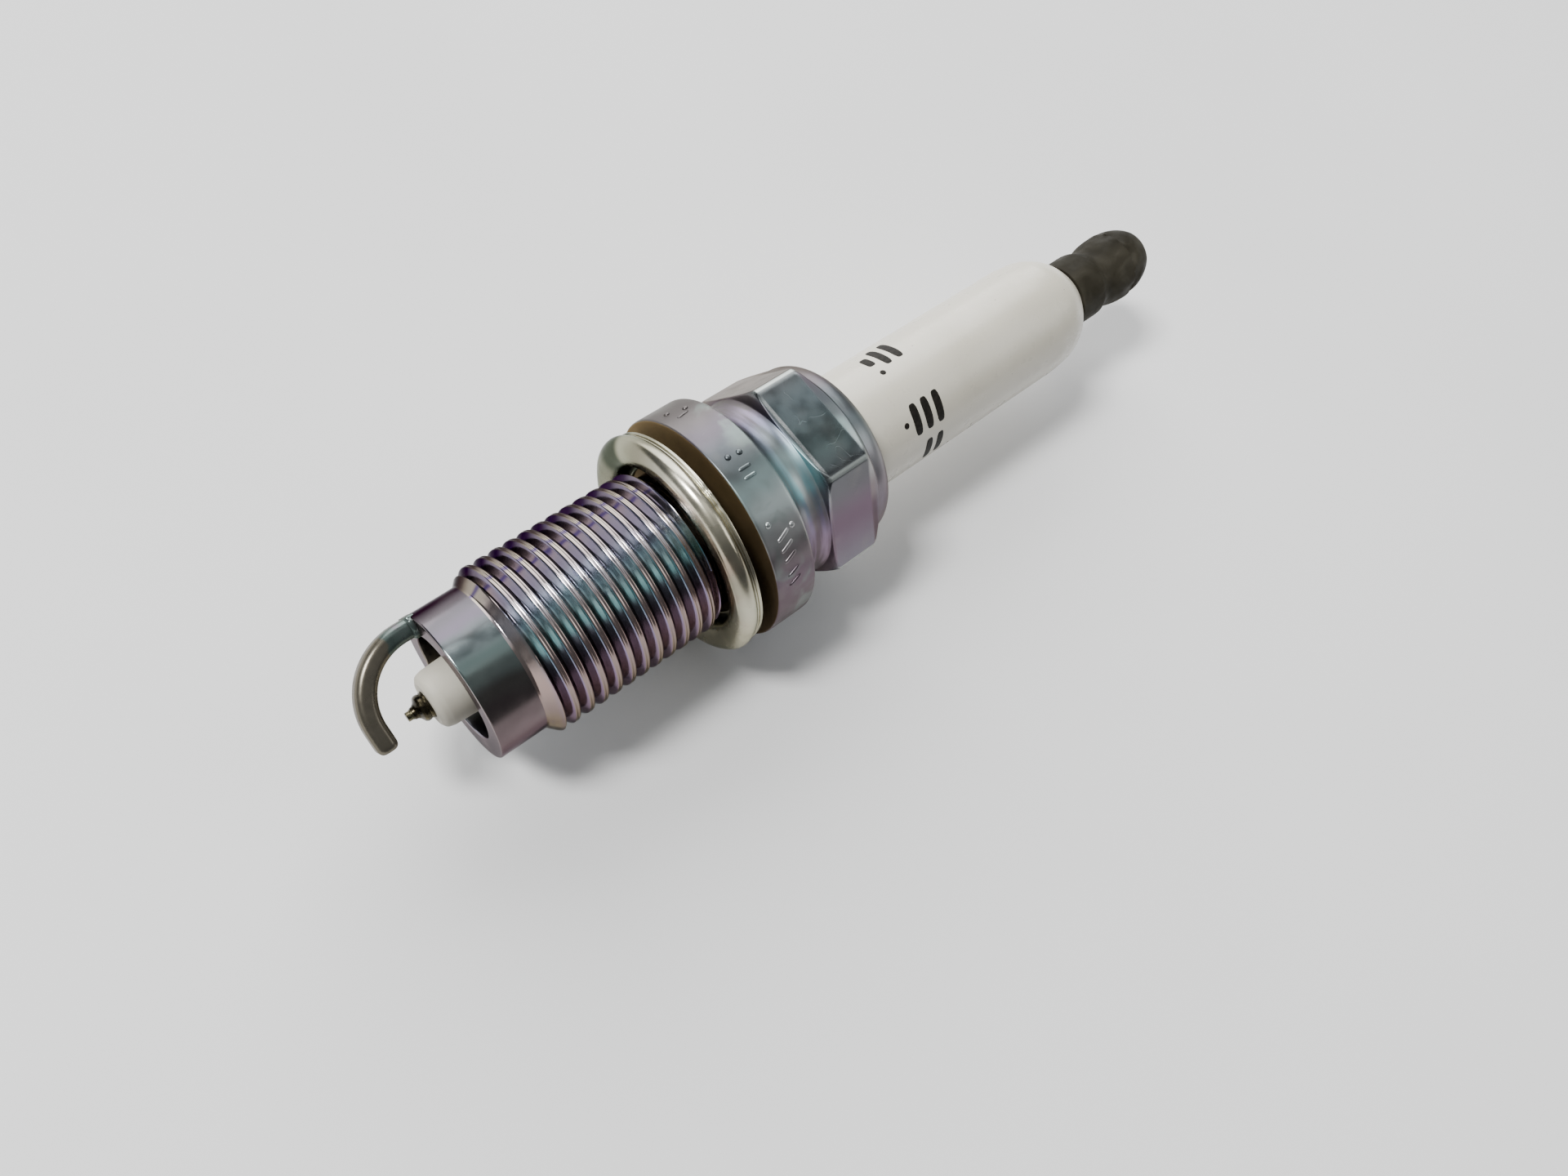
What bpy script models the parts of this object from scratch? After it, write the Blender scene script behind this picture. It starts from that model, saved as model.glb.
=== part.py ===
"""Spark plug with an M14 thread, a 16 mm hexagon and a captive folded gasket.

The plug lies along X. +X points to the firing end, -X to the terminal and +Z is up.
The origin is on the plug's axis, in the plane of the shell's gasket seat.
Stations along the axis and radii are written in millimetres and scaled once.
"""

import math

import bmesh
import bpy

MM = 0.001
PART_NAME = "spark_plug"

# Shell: thread, seat, groove, hexagon and rolled lip.
NOSE_FACE_X = 22.4
NOSE_R = 6.08
NOSE_BORE_R = 4.33
THREAD_PITCH = 1.25
THREAD_CREST_R = 6.95
THREAD_CORE_R = 6.20
THREAD_FRONT_X = 18.25
THREAD_REAR_X = 3.05
THREAD_START_X = 2.45
THREAD_TURNS = 12.5
RELIEF_R = 6.00
FLANGE_R = 9.75
FLANGE_REAR_X = -3.80
HEX_ACROSS_FLATS = 16.0
HEX_CORNER_R = 9.14
HEX_FRONT_X = -7.70
HEX_REAR_X = -11.38
LIP_END_X = -14.62
COLLAR_BORE_R = 6.30
SEAT_BORE_R = 4.75
LEDGE_R = 3.70

# Insulator: nose, seat cone, collar and bare rear body.
NOSE_TIP_X = 24.40
INSULATOR_REAR_R = 5.38
INSULATOR_COLLAR_R = 6.15
INSULATOR_BODY_R = 4.62
INSULATOR_END_X = -44.05
ELECTRODE_HOLE_R = 1.12
CORE_BORE_R = 1.95
STUD_RECESS_R = 2.42

# Electrodes and the spark gap.
ELECTRODE_R = 1.05
FINE_WIRE_R = 0.36
FINE_WIRE_FRONT_X = 26.10
FINE_WIRE_REAR_X = 25.62
STRAP_INNER_X = 27.50
STRAP_THICKNESS = 1.50
STRAP_WIDTH = 2.60
STRAP_LEG_OUTER_R = 6.00
STRAP_BEND_OUTER_R = 5.60
STRAP_END_R = -1.30
STRAP_TURN_DEG = 67.3

# Gasket, shown pushed forward off its seat as it hangs on a new plug.
GASKET_REAR_X = 1.25
GASKET_THICKNESS = 2.00
GASKET_HOLE_R = 6.55
GASKET_OUTER_R = 9.60
GASKET_RIDGE_R = 9.42
GASKET_SHEET = 0.40
GASKET_ROLL_HEIGHT = 1.90
GASKET_ROLL_WIDTH = 2.50
GASKET_LAND = 0.40

# Terminal.
STUD_THREAD_R = 1.70
STUD_END_X = -54.35
NUT_BORE_R = 1.78
NUT_BASE_X = -44.25
NUT_END_X = -54.95

ROUND_COARSE = 20
ROUND_FINE = 30
WELD = 1.0e-7

MATERIALS = {
    "shell_plating": ((0.56, 0.52, 0.60), 0.28, 1.0),
    "electrode_nickel": ((0.46, 0.43, 0.38), 0.35, 1.0),
    "electrode_dark": ((0.20, 0.18, 0.15), 0.40, 1.0),
    "copper": ((0.80, 0.42, 0.27), 0.35, 1.0),
    "iridium": ((0.45, 0.42, 0.34), 0.30, 1.0),
    "insulator_glaze": ((0.86, 0.84, 0.80), 0.25, 0.0),
    "packing_steel": ((0.50, 0.50, 0.50), 0.45, 1.0),
    "talc": ((0.82, 0.82, 0.79), 0.90, 0.0),
    "glass_seal": ((0.16, 0.14, 0.13), 0.40, 0.0),
    "resistor_body": ((0.10, 0.09, 0.09), 0.70, 0.0),
    "stud_steel": ((0.58, 0.57, 0.54), 0.35, 1.0),
    "terminal_steel": ((0.16, 0.15, 0.13), 0.40, 1.0),
    "gasket_steel": ((0.66, 0.63, 0.54), 0.25, 1.0),
}


def clear_scene():
    """Remove whatever the file opened with."""
    for item in list(bpy.data.objects):
        bpy.data.objects.remove(item, do_unlink=True)


def make_collection(name):
    group = bpy.data.collections.new(name)
    bpy.context.scene.collection.children.link(group)
    return group


def make_material(name):
    colour, roughness, metallic = MATERIALS[name]
    material = bpy.data.materials.new(name)
    material.use_nodes = True
    shader = material.node_tree.nodes["Principled BSDF"]
    shader.inputs["Base Color"].default_value = (*colour, 1.0)
    shader.inputs["Roughness"].default_value = roughness
    shader.inputs["Metallic"].default_value = metallic
    material.diffuse_color = (*colour, 1.0)
    return material


def lay_along_x(item):
    """Turn a piece built about its own Z so that its +Z becomes the plug's +X."""
    item.rotation_euler = (0.0, math.pi / 2.0, 0.0)


def finish_piece(item, group, material):
    group.objects.link(item)
    if material is not None:
        item.data.materials.append(material)


def make_cutter(item, group):
    group.objects.link(item)
    item.hide_render = True
    item.display_type = "WIRE"


def profile_mesh(name, points, closed, start_deg=0.0):
    """Build the half section of a turned piece from (station, radius) pairs."""
    mesh = bpy.data.meshes.new(name)
    shape = bmesh.new()
    across = math.cos(math.radians(start_deg)) * MM
    along = math.sin(math.radians(start_deg)) * MM
    corners = [shape.verts.new((radius * across, radius * along, station * MM)) for station, radius in points]
    for first, second in zip(corners, corners[1:]):
        shape.edges.new((first, second))
    if closed:
        shape.edges.new((corners[-1], corners[0]))
    shape.to_mesh(mesh)
    shape.free()
    return mesh


def add_turning(item, segments):
    turn = item.modifiers.new("turn", "SCREW")
    turn.axis = "Z"
    turn.angle = 2.0 * math.pi
    turn.steps = segments
    turn.render_steps = segments
    turn.use_merge_vertices = True
    turn.merge_threshold = WELD
    turn.use_smooth_shade = True


def turned(name, points, group, material, segments=ROUND_FINE, closed=True):
    """Turned piece: the section runs down its outer side, then back up its bore."""
    item = bpy.data.objects.new(name, profile_mesh(name, points, closed))
    finish_piece(item, group, material)
    lay_along_x(item)
    add_turning(item, segments)
    return item


def evaluated_mesh(item):
    depsgraph = bpy.context.evaluated_depsgraph_get()
    return bpy.data.meshes.new_from_object(item.evaluated_get(depsgraph))


def weld_and_cap(mesh):
    """Weld coincident corners and close any open end with one face."""
    shape = bmesh.new()
    shape.from_mesh(mesh)
    bmesh.ops.remove_doubles(shape, verts=shape.verts, dist=WELD)
    open_edges = [edge for edge in shape.edges if edge.is_boundary]
    if open_edges:
        bmesh.ops.holes_fill(shape, edges=open_edges, sides=0)
    bmesh.ops.recalc_face_normals(shape, faces=shape.faces)
    shape.to_mesh(mesh)
    shape.free()


def add_boolean(item, other, operation):
    cut = item.modifiers.new(operation.lower(), "BOOLEAN")
    cut.operation = operation
    cut.solver = "EXACT"
    cut.object = other


def smooth_round_faces(item, angle_deg=35.0):
    item.data.shade_smooth()
    item.data.set_sharp_from_angle(angle=math.radians(angle_deg))


def arc(centre, radius, start_deg, end_deg, count):
    """Points on an arc in the section plane, as (station, radius) pairs."""
    points = []
    for step in range(count + 1):
        angle = math.radians(start_deg + (end_deg - start_deg) * step / count)
        points.append((centre[0] + radius * math.sin(angle), centre[1] + radius * math.cos(angle)))
    return points


def oval(centre, axial, radial, start_deg, end_deg, count):
    """Points on an ellipse in the section plane. 0 degrees is its front, 90 its outer side."""
    points = []
    for step in range(count + 1):
        angle = math.radians(start_deg + (end_deg - start_deg) * step / count)
        points.append((centre[0] + axial * math.cos(angle), centre[1] + radial * math.sin(angle)))
    return points


def hexagon_cutter(group):
    """Thick ring with a hexagonal hole that trims the turned shell to its flats."""
    outline = bpy.data.curves.new("hexagon_ring", "CURVE")
    outline.dimensions = "2D"
    outline.fill_mode = "BOTH"
    corner_r = HEX_ACROSS_FLATS / math.sqrt(3.0)
    for count, radius, turn in ((ROUND_FINE, 13.0, 0.0), (6, corner_r, math.radians(30.0))):
        spline = outline.splines.new("POLY")
        spline.points.add(count - 1)
        spline.use_cyclic_u = True
        for index in range(count):
            angle = turn + 2.0 * math.pi * index / count
            spline.points[index].co = (radius * MM * math.cos(angle), radius * MM * math.sin(angle), 0.0, 1.0)
    front_x = -6.90
    rear_x = -12.75
    outline.extrude = 0.5 * (front_x - rear_x) * MM
    source = bpy.data.objects.new("hexagon_ring_outline", outline)
    group.objects.link(source)
    bpy.context.view_layer.update()
    mesh = evaluated_mesh(source)
    mesh.name = "hexagon_ring"
    weld_and_cap(mesh)
    bpy.data.objects.remove(source, do_unlink=True)
    cutter = bpy.data.objects.new("hexagon_ring", mesh)
    make_cutter(cutter, group)
    lay_along_x(cutter)
    cutter.location = (0.5 * (front_x + rear_x) * MM, 0.0, 0.0)
    return cutter


def thread_ridge(group):
    """Helical 60 degree ridge, tapered out at both ends by a turned envelope."""
    half_base = 0.59
    half_crest = 0.08
    root_r = THREAD_CORE_R - 0.12
    half_step_deg = 180.0 / ROUND_FINE
    start = THREAD_START_X + THREAD_PITCH * half_step_deg / 360.0
    section = (
        (start + half_base, root_r),
        (start + half_crest, THREAD_CREST_R),
        (start - half_crest, THREAD_CREST_R),
        (start - half_base, root_r),
    )
    source = bpy.data.objects.new("ridge_section", profile_mesh("ridge_section", section, True, half_step_deg))
    group.objects.link(source)
    wind = source.modifiers.new("wind", "SCREW")
    wind.axis = "Z"
    wind.angle = 2.0 * math.pi * THREAD_TURNS
    wind.screw_offset = THREAD_PITCH * THREAD_TURNS * MM
    wind.steps = int(ROUND_FINE * THREAD_TURNS)
    wind.render_steps = wind.steps
    wind.use_merge_vertices = False
    bpy.context.view_layer.update()
    mesh = evaluated_mesh(source)
    mesh.name = "thread_ridge"
    weld_and_cap(mesh)
    bpy.data.objects.remove(source, do_unlink=True)
    ridge = bpy.data.objects.new("thread_ridge", mesh)
    make_cutter(ridge, group)
    lay_along_x(ridge)

    taper = 0.85
    core = THREAD_CORE_R - 0.07
    envelope_section = (
        (THREAD_FRONT_X, core),
        (THREAD_FRONT_X - taper, THREAD_CREST_R + 0.05),
        (THREAD_REAR_X + taper, THREAD_CREST_R + 0.05),
        (THREAD_REAR_X, core),
        (THREAD_REAR_X, root_r - 0.60),
        (THREAD_FRONT_X, root_r - 0.60),
    )
    envelope = bpy.data.objects.new("thread_envelope", profile_mesh("thread_envelope", envelope_section, True))
    make_cutter(envelope, group)
    lay_along_x(envelope)
    add_turning(envelope, ROUND_FINE)
    add_boolean(ridge, envelope, "INTERSECT")
    return ridge


def build_shell(parts, cutters, material):
    """Steel shell: nose, thread core, flange, groove, hexagon and the lip rolled over the insulator."""
    outer = [
        (NOSE_FACE_X, NOSE_R - 0.14),
        (NOSE_FACE_X - 0.14, NOSE_R),
        (THREAD_FRONT_X + 0.20, NOSE_R),
        (THREAD_FRONT_X + 0.05, THREAD_CORE_R),
        (THREAD_REAR_X - 0.05, THREAD_CORE_R),
        (THREAD_REAR_X - 0.35, RELIEF_R),
        (0.40, RELIEF_R),
        (0.0, RELIEF_R + 0.40),
        (0.0, FLANGE_R - 0.18),
        (-0.18, FLANGE_R),
        (FLANGE_REAR_X + 0.35, FLANGE_R),
        (FLANGE_REAR_X, FLANGE_R - 0.30),
        (-4.02, 8.90),
        (-4.50, 8.28),
        (-5.20, 7.86),
        (-6.00, 7.70),
        (-6.65, 7.76),
        (-7.08, 7.94),
        (-7.20, 8.40),
        (-7.36, 8.76),
        (HEX_FRONT_X, HEX_CORNER_R),
        (HEX_REAR_X, HEX_CORNER_R),
        (-11.72, 8.95),
        (-12.10, 8.42),
        (-12.44, 7.97),
        (-12.95, 7.93),
        (-13.45, 7.80),
        (-13.90, 7.48),
        (-14.28, 7.00),
        (-14.54, 6.45),
        (-14.66, 5.92),
        (LIP_END_X, 5.62),
    ]
    bore = [
        (-14.36, 5.50),
        (-13.95, 5.58),
        (-13.60, 5.92),
        (-13.12, COLLAR_BORE_R),
        (-0.10, COLLAR_BORE_R),
        (0.90, SEAT_BORE_R),
        (7.80, SEAT_BORE_R),
        (8.50, LEDGE_R),
        (11.00, LEDGE_R),
        (11.65, NOSE_BORE_R),
        (NOSE_FACE_X - 0.12, NOSE_BORE_R),
        (NOSE_FACE_X, NOSE_BORE_R + 0.12),
    ]
    shell = turned("metal_shell", outer + bore, parts, material)
    add_boolean(shell, hexagon_cutter(cutters), "DIFFERENCE")
    add_boolean(shell, thread_ridge(cutters), "UNION")
    return shell


def build_strap(parts, material):
    """Ground electrode: a flat bar welded to the nose face and bent over the spark gap."""
    bend_x = STRAP_INNER_X + STRAP_THICKNESS - STRAP_BEND_OUTER_R
    bend_r = STRAP_LEG_OUTER_R - STRAP_BEND_OUTER_R
    weld_x = NOSE_FACE_X + 0.03
    steps = 12
    centre = (bend_x, bend_r)
    outline = [(weld_x, STRAP_LEG_OUTER_R)]
    outline += arc(centre, STRAP_BEND_OUTER_R, 0.0, 90.0, steps)
    outline.append((STRAP_INNER_X + STRAP_THICKNESS, STRAP_END_R + 0.35))
    outline.append((STRAP_INNER_X + STRAP_THICKNESS - 0.35, STRAP_END_R))
    outline.append((STRAP_INNER_X, STRAP_END_R))
    outline += arc(centre, STRAP_BEND_OUTER_R - STRAP_THICKNESS, 90.0, 0.0, steps)
    outline.append((weld_x, STRAP_LEG_OUTER_R - STRAP_THICKNESS))
    curve = bpy.data.curves.new("strap_outline", "CURVE")
    curve.dimensions = "2D"
    curve.fill_mode = "BOTH"
    curve.extrude = 0.5 * STRAP_WIDTH * MM
    spline = curve.splines.new("POLY")
    spline.points.add(len(outline) - 1)
    spline.use_cyclic_u = True
    for point, (station, radius) in zip(spline.points, outline):
        point.co = (station * MM, radius * MM, 0.0, 1.0)
    source = bpy.data.objects.new("strap_outline", curve)
    parts.objects.link(source)
    bpy.context.view_layer.update()
    mesh = evaluated_mesh(source)
    mesh.name = "ground_electrode"
    weld_and_cap(mesh)
    bpy.data.objects.remove(source, do_unlink=True)
    # The outline lies in the object's own XY plane. Turning it about X sets the leg's place round the nose.
    strap = bpy.data.objects.new("ground_electrode", mesh)
    finish_piece(strap, parts, material)
    strap.rotation_euler = (math.radians(90.0 + STRAP_TURN_DEG), 0.0, 0.0)
    soften = strap.modifiers.new("soften", "BEVEL")
    soften.width = 0.28 * MM
    soften.segments = 2
    soften.limit_method = "ANGLE"
    soften.angle_limit = math.radians(50.0)
    smooth_round_faces(strap)
    return strap


def build_insulator(parts, material):
    """Alumina insulator: nose, seat cone, collar held by the shell, bare rear body and stepped bore."""
    outer = [
        (NOSE_TIP_X, 1.62),
        (NOSE_TIP_X - 0.10, 1.92),
        (NOSE_TIP_X - 0.34, 2.14),
        (NOSE_TIP_X - 0.70, 2.24),
        (NOSE_FACE_X, 2.30),
        (16.00, 2.62),
        (11.00, 2.95),
        (9.20, 3.20),
        (8.60, 3.45),
        (7.95, 3.70),
        (7.34, INSULATOR_BODY_R),
        (0.48, INSULATOR_BODY_R),
        (-0.50, INSULATOR_COLLAR_R),
        (-7.60, INSULATOR_COLLAR_R),
        (-8.15, 5.98),
        (-8.60, 5.58),
        (-8.80, INSULATOR_REAR_R),
        (-38.30, INSULATOR_REAR_R),
        (-39.30, 5.30),
        (-40.30, 5.12),
        (-41.20, 4.86),
        (-42.10, 4.47),
        (-42.90, 4.02),
        (-43.60, 3.55),
        (INSULATOR_END_X, 3.15),
    ]
    bore = [
        (INSULATOR_END_X, STUD_RECESS_R),
        (-42.75, STUD_RECESS_R),
        (-42.75, CORE_BORE_R),
        (8.60, CORE_BORE_R),
        (9.20, ELECTRODE_HOLE_R),
        (NOSE_TIP_X, ELECTRODE_HOLE_R),
    ]
    return turned("insulator", outer + bore, parts, material)


def build_gasket(parts, material):
    """Folded sheet-metal ring: a flat rear layer and a front roll with a narrow flat land on its crown."""
    rear = GASKET_REAR_X
    half_height = GASKET_ROLL_HEIGHT / 2.0
    half_width = GASKET_ROLL_WIDTH / 2.0
    sheet = GASKET_SHEET
    half_land = GASKET_LAND / 2.0
    station = rear + GASKET_THICKNESS - half_height
    inner = (station, GASKET_OUTER_R - half_width - half_land)
    outer = (station, GASKET_OUTER_R - half_width + half_land)
    bend = half_width - half_land
    section = oval(inner, half_height, bend, -85.0, 0.0, 4)
    section += oval(outer, half_height, bend, 0.0, 135.0, 6)
    section += [
        (rear + sheet - 0.10, 9.30),
        (rear + sheet - 0.15, GASKET_RIDGE_R),
        (rear + 0.06, GASKET_RIDGE_R),
        (rear, GASKET_RIDGE_R - 0.12),
        (rear, GASKET_HOLE_R),
        (rear + sheet, GASKET_HOLE_R),
        (rear + sheet, 8.10),
    ]
    section += oval(outer, half_height - sheet, bend - sheet, 130.0, 0.0, 3)
    section += oval(inner, half_height - sheet, bend - sheet, 0.0, -85.0, 2)
    return turned("gasket", section, parts, material)


def build_core_stack(parts, looks):
    """Everything inside the insulator's bore, from the fine wire back to the stud."""
    turned(
        "iridium_tip",
        [
            (FINE_WIRE_FRONT_X, 0.0),
            (FINE_WIRE_FRONT_X, FINE_WIRE_R),
            (FINE_WIRE_REAR_X, FINE_WIRE_R),
            (FINE_WIRE_REAR_X, 0.0),
        ],
        parts,
        looks["iridium"],
        ROUND_COARSE,
        closed=False,
    )
    turned(
        "center_electrode",
        [
            (25.60, 0.0),
            (25.60, 0.50),
            (25.34, 0.55),
            (25.02, ELECTRODE_R - 0.05),
            (24.96, ELECTRODE_R),
            (8.95, ELECTRODE_R),
            (8.45, 1.78),
            (7.20, 1.78),
            (7.20, 0.60),
            (24.55, 0.60),
            (24.55, 0.0),
        ],
        parts,
        looks["electrode_dark"],
        ROUND_COARSE,
        closed=False,
    )
    turned(
        "copper_core",
        [(24.50, 0.0), (24.50, 0.55), (7.25, 0.55), (7.25, 0.0)],
        parts,
        looks["copper"],
        ROUND_COARSE,
        closed=False,
    )
    turned(
        "lower_glass_seal",
        [(7.10, 0.0), (7.10, 1.90), (2.20, 1.90), (2.20, 0.0)],
        parts,
        looks["glass_seal"],
        ROUND_COARSE,
        closed=False,
    )
    turned(
        "resistor",
        [(2.15, 0.0), (2.15, 1.90), (-6.00, 1.90), (-6.00, 0.0)],
        parts,
        looks["resistor_body"],
        ROUND_COARSE,
        closed=False,
    )
    turned(
        "upper_glass_seal",
        [
            (-6.05, 0.0),
            (-6.05, 1.90),
            (-11.00, 1.90),
            (-11.00, 1.46),
            (-7.40, 1.46),
            (-7.40, 0.0),
        ],
        parts,
        looks["glass_seal"],
        ROUND_COARSE,
        closed=False,
    )
    turned(
        "terminal_stud",
        [
            (-7.50, 0.0),
            (-7.50, 1.20),
            (-7.70, 1.40),
            (-11.15, 1.40),
            (-11.35, 1.82),
            (-42.80, 1.82),
            (-42.80, 2.34),
            (-44.00, 2.34),
            (-44.00, 1.45),
            (-44.45, 1.45),
            (-44.65, STUD_THREAD_R),
            (STUD_END_X + 0.30, STUD_THREAD_R),
            (STUD_END_X, 1.40),
            (STUD_END_X, 0.0),
        ],
        parts,
        looks["stud_steel"],
        ROUND_COARSE,
        closed=False,
    )


def build_packings(parts, looks):
    """Sealing pieces trapped between the insulator and the shell."""
    turned(
        "seat_packing",
        [(8.33, 3.80), (7.83, 4.55), (7.49, 4.55), (7.99, 3.80)],
        parts,
        looks["packing_steel"],
    )
    wire_r = 0.38
    middle_r = 0.5 * (INSULATOR_REAR_R + COLLAR_BORE_R)
    for name, station in (("lower_packing_ring", -9.24), ("upper_packing_ring", -12.64)):
        section = arc((station, middle_r), wire_r, 0.0, -360.0, 8)[:-1]
        turned(name, section, parts, looks["packing_steel"])
    turned(
        "talc_filler",
        [
            (-9.67, COLLAR_BORE_R - 0.05),
            (-12.22, COLLAR_BORE_R - 0.05),
            (-12.22, INSULATOR_REAR_R + 0.05),
            (-9.67, INSULATOR_REAR_R + 0.05),
        ],
        parts,
        looks["talc"],
    )


def build_terminal_nut(parts, material):
    """Push-on terminal nut on the M4 stud, with a waist that the plug cap's spring snaps into."""
    section = [
        (NUT_BASE_X, 3.08),
        (NUT_BASE_X - 0.18, 3.24),
        (-47.20, 3.24),
        (-47.70, 3.10),
        (-48.25, 2.86),
        (-48.85, 2.86),
        (-49.50, 3.08),
        (-50.50, 3.28),
        (-51.60, 3.34),
        (-52.60, 3.24),
        (-53.50, 3.02),
        (-54.25, 2.74),
        (-54.80, 2.46),
        (NUT_END_X, 2.30),
        (NUT_END_X, NUT_BORE_R + 0.14),
        (NUT_END_X + 0.14, NUT_BORE_R),
        (NUT_BASE_X - 0.14, NUT_BORE_R),
        (NUT_BASE_X, NUT_BORE_R + 0.14),
    ]
    return turned("terminal_nut", section, parts, material, ROUND_COARSE)


def main():
    clear_scene()
    parts = make_collection(PART_NAME)
    cutters = make_collection("cutters")
    looks = {name: make_material(name) for name in MATERIALS}
    build_shell(parts, cutters, looks["shell_plating"])
    build_strap(parts, looks["electrode_nickel"])
    build_insulator(parts, looks["insulator_glaze"])
    build_core_stack(parts, looks)
    build_packings(parts, looks)
    build_gasket(parts, looks["gasket_steel"])
    build_terminal_nut(parts, looks["terminal_steel"])
    bpy.context.view_layer.update()


main()
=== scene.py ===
"""Looks for the spark plug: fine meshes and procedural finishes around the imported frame.

Stations along X and radii are in millimetres and are scaled once. Angles round the axis
are in degrees from +Z towards +Y.
"""

import math

import bmesh
import bpy
import numpy as np
from mathutils import Matrix, Vector


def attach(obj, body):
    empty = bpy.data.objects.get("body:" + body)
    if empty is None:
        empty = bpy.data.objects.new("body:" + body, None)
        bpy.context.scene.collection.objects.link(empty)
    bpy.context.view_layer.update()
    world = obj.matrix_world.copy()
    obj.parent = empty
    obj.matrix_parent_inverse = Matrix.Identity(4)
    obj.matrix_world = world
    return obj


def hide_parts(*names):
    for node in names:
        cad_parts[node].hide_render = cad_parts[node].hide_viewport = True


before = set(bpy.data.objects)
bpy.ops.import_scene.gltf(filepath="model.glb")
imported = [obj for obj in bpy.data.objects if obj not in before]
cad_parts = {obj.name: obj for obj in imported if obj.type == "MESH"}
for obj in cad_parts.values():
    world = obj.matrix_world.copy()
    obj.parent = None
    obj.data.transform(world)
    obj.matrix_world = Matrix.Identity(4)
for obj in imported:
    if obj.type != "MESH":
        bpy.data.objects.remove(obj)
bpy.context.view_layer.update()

MM = 0.001
CLOSE = 1.0e-7
# A fillet this wide runs to the middle of both legs beside its corner.
WIDE_FILLET = 9.0

# Sizes shared with the frame.
NOSE_FACE_X = 22.40
NOSE_R = 6.08
NOSE_BORE_R = 4.33
THREAD_PITCH = 1.25
THREAD_CREST_R = 6.95
THREAD_ROOT_R = 6.20
THREAD_FRONT_X = 18.45
THREAD_REAR_X = 2.55
THREAD_MIDDLE_X = 12.0
CREST_PHASE_X = 16.825
RELIEF_R = 6.00
FLANGE_R = 9.75
FLANGE_REAR_X = -3.80
HEX_APOTHEM = 8.00
HEX_CORNER_R = 9.14
HEX_ZONE = (-12.75, -6.95)
HEX_INNER_R = 7.00
INSULATOR_R = 5.38
INSULATOR_END_X = -44.05
NOSE_TIP_X = 24.40
GLAZE_END_X = 8.00
GASKET_REAR_X = 1.25
GASKET_FRONT_X = 3.25
GASKET_R = 9.60
GASKET_HOLE_R = 6.55
GASKET_SHEET = 0.40
GASKET_ROLL_HALF = (0.95, 1.26)
GASKET_RIDGE_R = (9.28, 9.42)
STRAP_INNER_X = 27.50
STRAP_THICKNESS = 1.50
STRAP_WIDTH = 2.60
STRAP_LEG_OUTER_R = 6.00
STRAP_BEND_OUTER_R = 5.60
STRAP_END_R = -1.30
STRAP_TURN_DEG = -67.3
STRAP_TIP_ROUND = 0.55
STRAP_CORNER_R = 0.56
STRAP_RING_POINTS = 40
NUT_BASE_X = -44.25
NUT_END_X = -54.95
NUT_BORE_R = 1.78
NUT_COLLAR_END_X = -47.60
NUT_HEAD_STEP_X = -51.80
STUD_THREAD_R = 1.71
STUD_END_X = -54.35
STUD_PITCH = 0.70
STUD_CORE_R = 1.28
STUD_CREST_X = -50.0
STUD_THREAD_FRONT_X = -44.45
STUD_RUNOUT_X = -44.55


# ---------------------------------------------------------------- geometry helpers


def soft_min(a, b, width):
    """Smaller of two values, blended over a width where they cross."""
    share = np.clip(0.5 + 0.5 * (b - a) / width, 0.0, 1.0)
    return b + (a - b) * share - width * share * (1.0 - share)


def soft_max(a, b, width):
    return -soft_min(-a, -b, width)


def rounded_section(corners, step, closed=True):
    """Dense (station, radius) section through corners given as (station, radius, fillet)."""
    count = len(corners)
    path = []
    for index, (x, r, fillet) in enumerate(corners):
        point = np.array((x, r))
        before = np.array(corners[index - 1][:2])
        after = np.array(corners[(index + 1) % count][:2])
        is_end = not closed and index in (0, count - 1)
        if is_end or fillet <= 0.0:
            path.append(point)
            continue
        back = before - point
        ahead = after - point
        back_length = np.linalg.norm(back)
        ahead_length = np.linalg.norm(ahead)
        cosine = np.clip(back @ ahead / (back_length * ahead_length), -0.9999, 0.9999)
        cut = min(fillet / math.tan(0.5 * math.acos(cosine)), 0.49 * back_length, 0.49 * ahead_length)
        start = point + back / back_length * cut
        end = point + ahead / ahead_length * cut
        for t in np.linspace(0.0, 1.0, 7):
            path.append((1 - t) ** 2 * start + 2 * t * (1 - t) * point + t * t * end)
    dense = []
    legs = list(zip(path, path[1:] + path[:1]))
    for a, b in legs if closed else legs[:-1]:
        size = step(0.5 * (a[0] + b[0])) if callable(step) else step
        pieces = max(1, math.ceil(np.linalg.norm(b - a) / size))
        dense += [a + (b - a) * k / pieces for k in range(pieces)]
    if not closed:
        dense.append(path[-1])
    return np.array(dense)


def mesh_object(name, points, faces, sharp_deg=40.0):
    """Mesh in the row frame from points in millimetres, welded and with outward faces."""
    mesh = bpy.data.meshes.new(name)
    mesh.from_pydata((np.asarray(points) * MM).tolist(), [], faces)
    shape = bmesh.new()
    shape.from_mesh(mesh)
    bmesh.ops.remove_doubles(shape, verts=shape.verts, dist=CLOSE)
    bmesh.ops.dissolve_degenerate(shape, edges=shape.edges, dist=CLOSE)
    bmesh.ops.recalc_face_normals(shape, faces=shape.faces)
    shape.to_mesh(mesh)
    shape.free()
    mesh.shade_smooth()
    mesh.set_sharp_from_angle(angle=math.radians(sharp_deg))
    item = bpy.data.objects.new(name, mesh)
    bpy.context.scene.collection.objects.link(item)
    return item


def place_round(x, r, theta):
    """Points from stations, radii and angles in radians."""
    x, r, theta = np.broadcast_arrays(x, r, theta)
    return np.stack([x, r * np.sin(theta), r * np.cos(theta)], -1)


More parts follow.
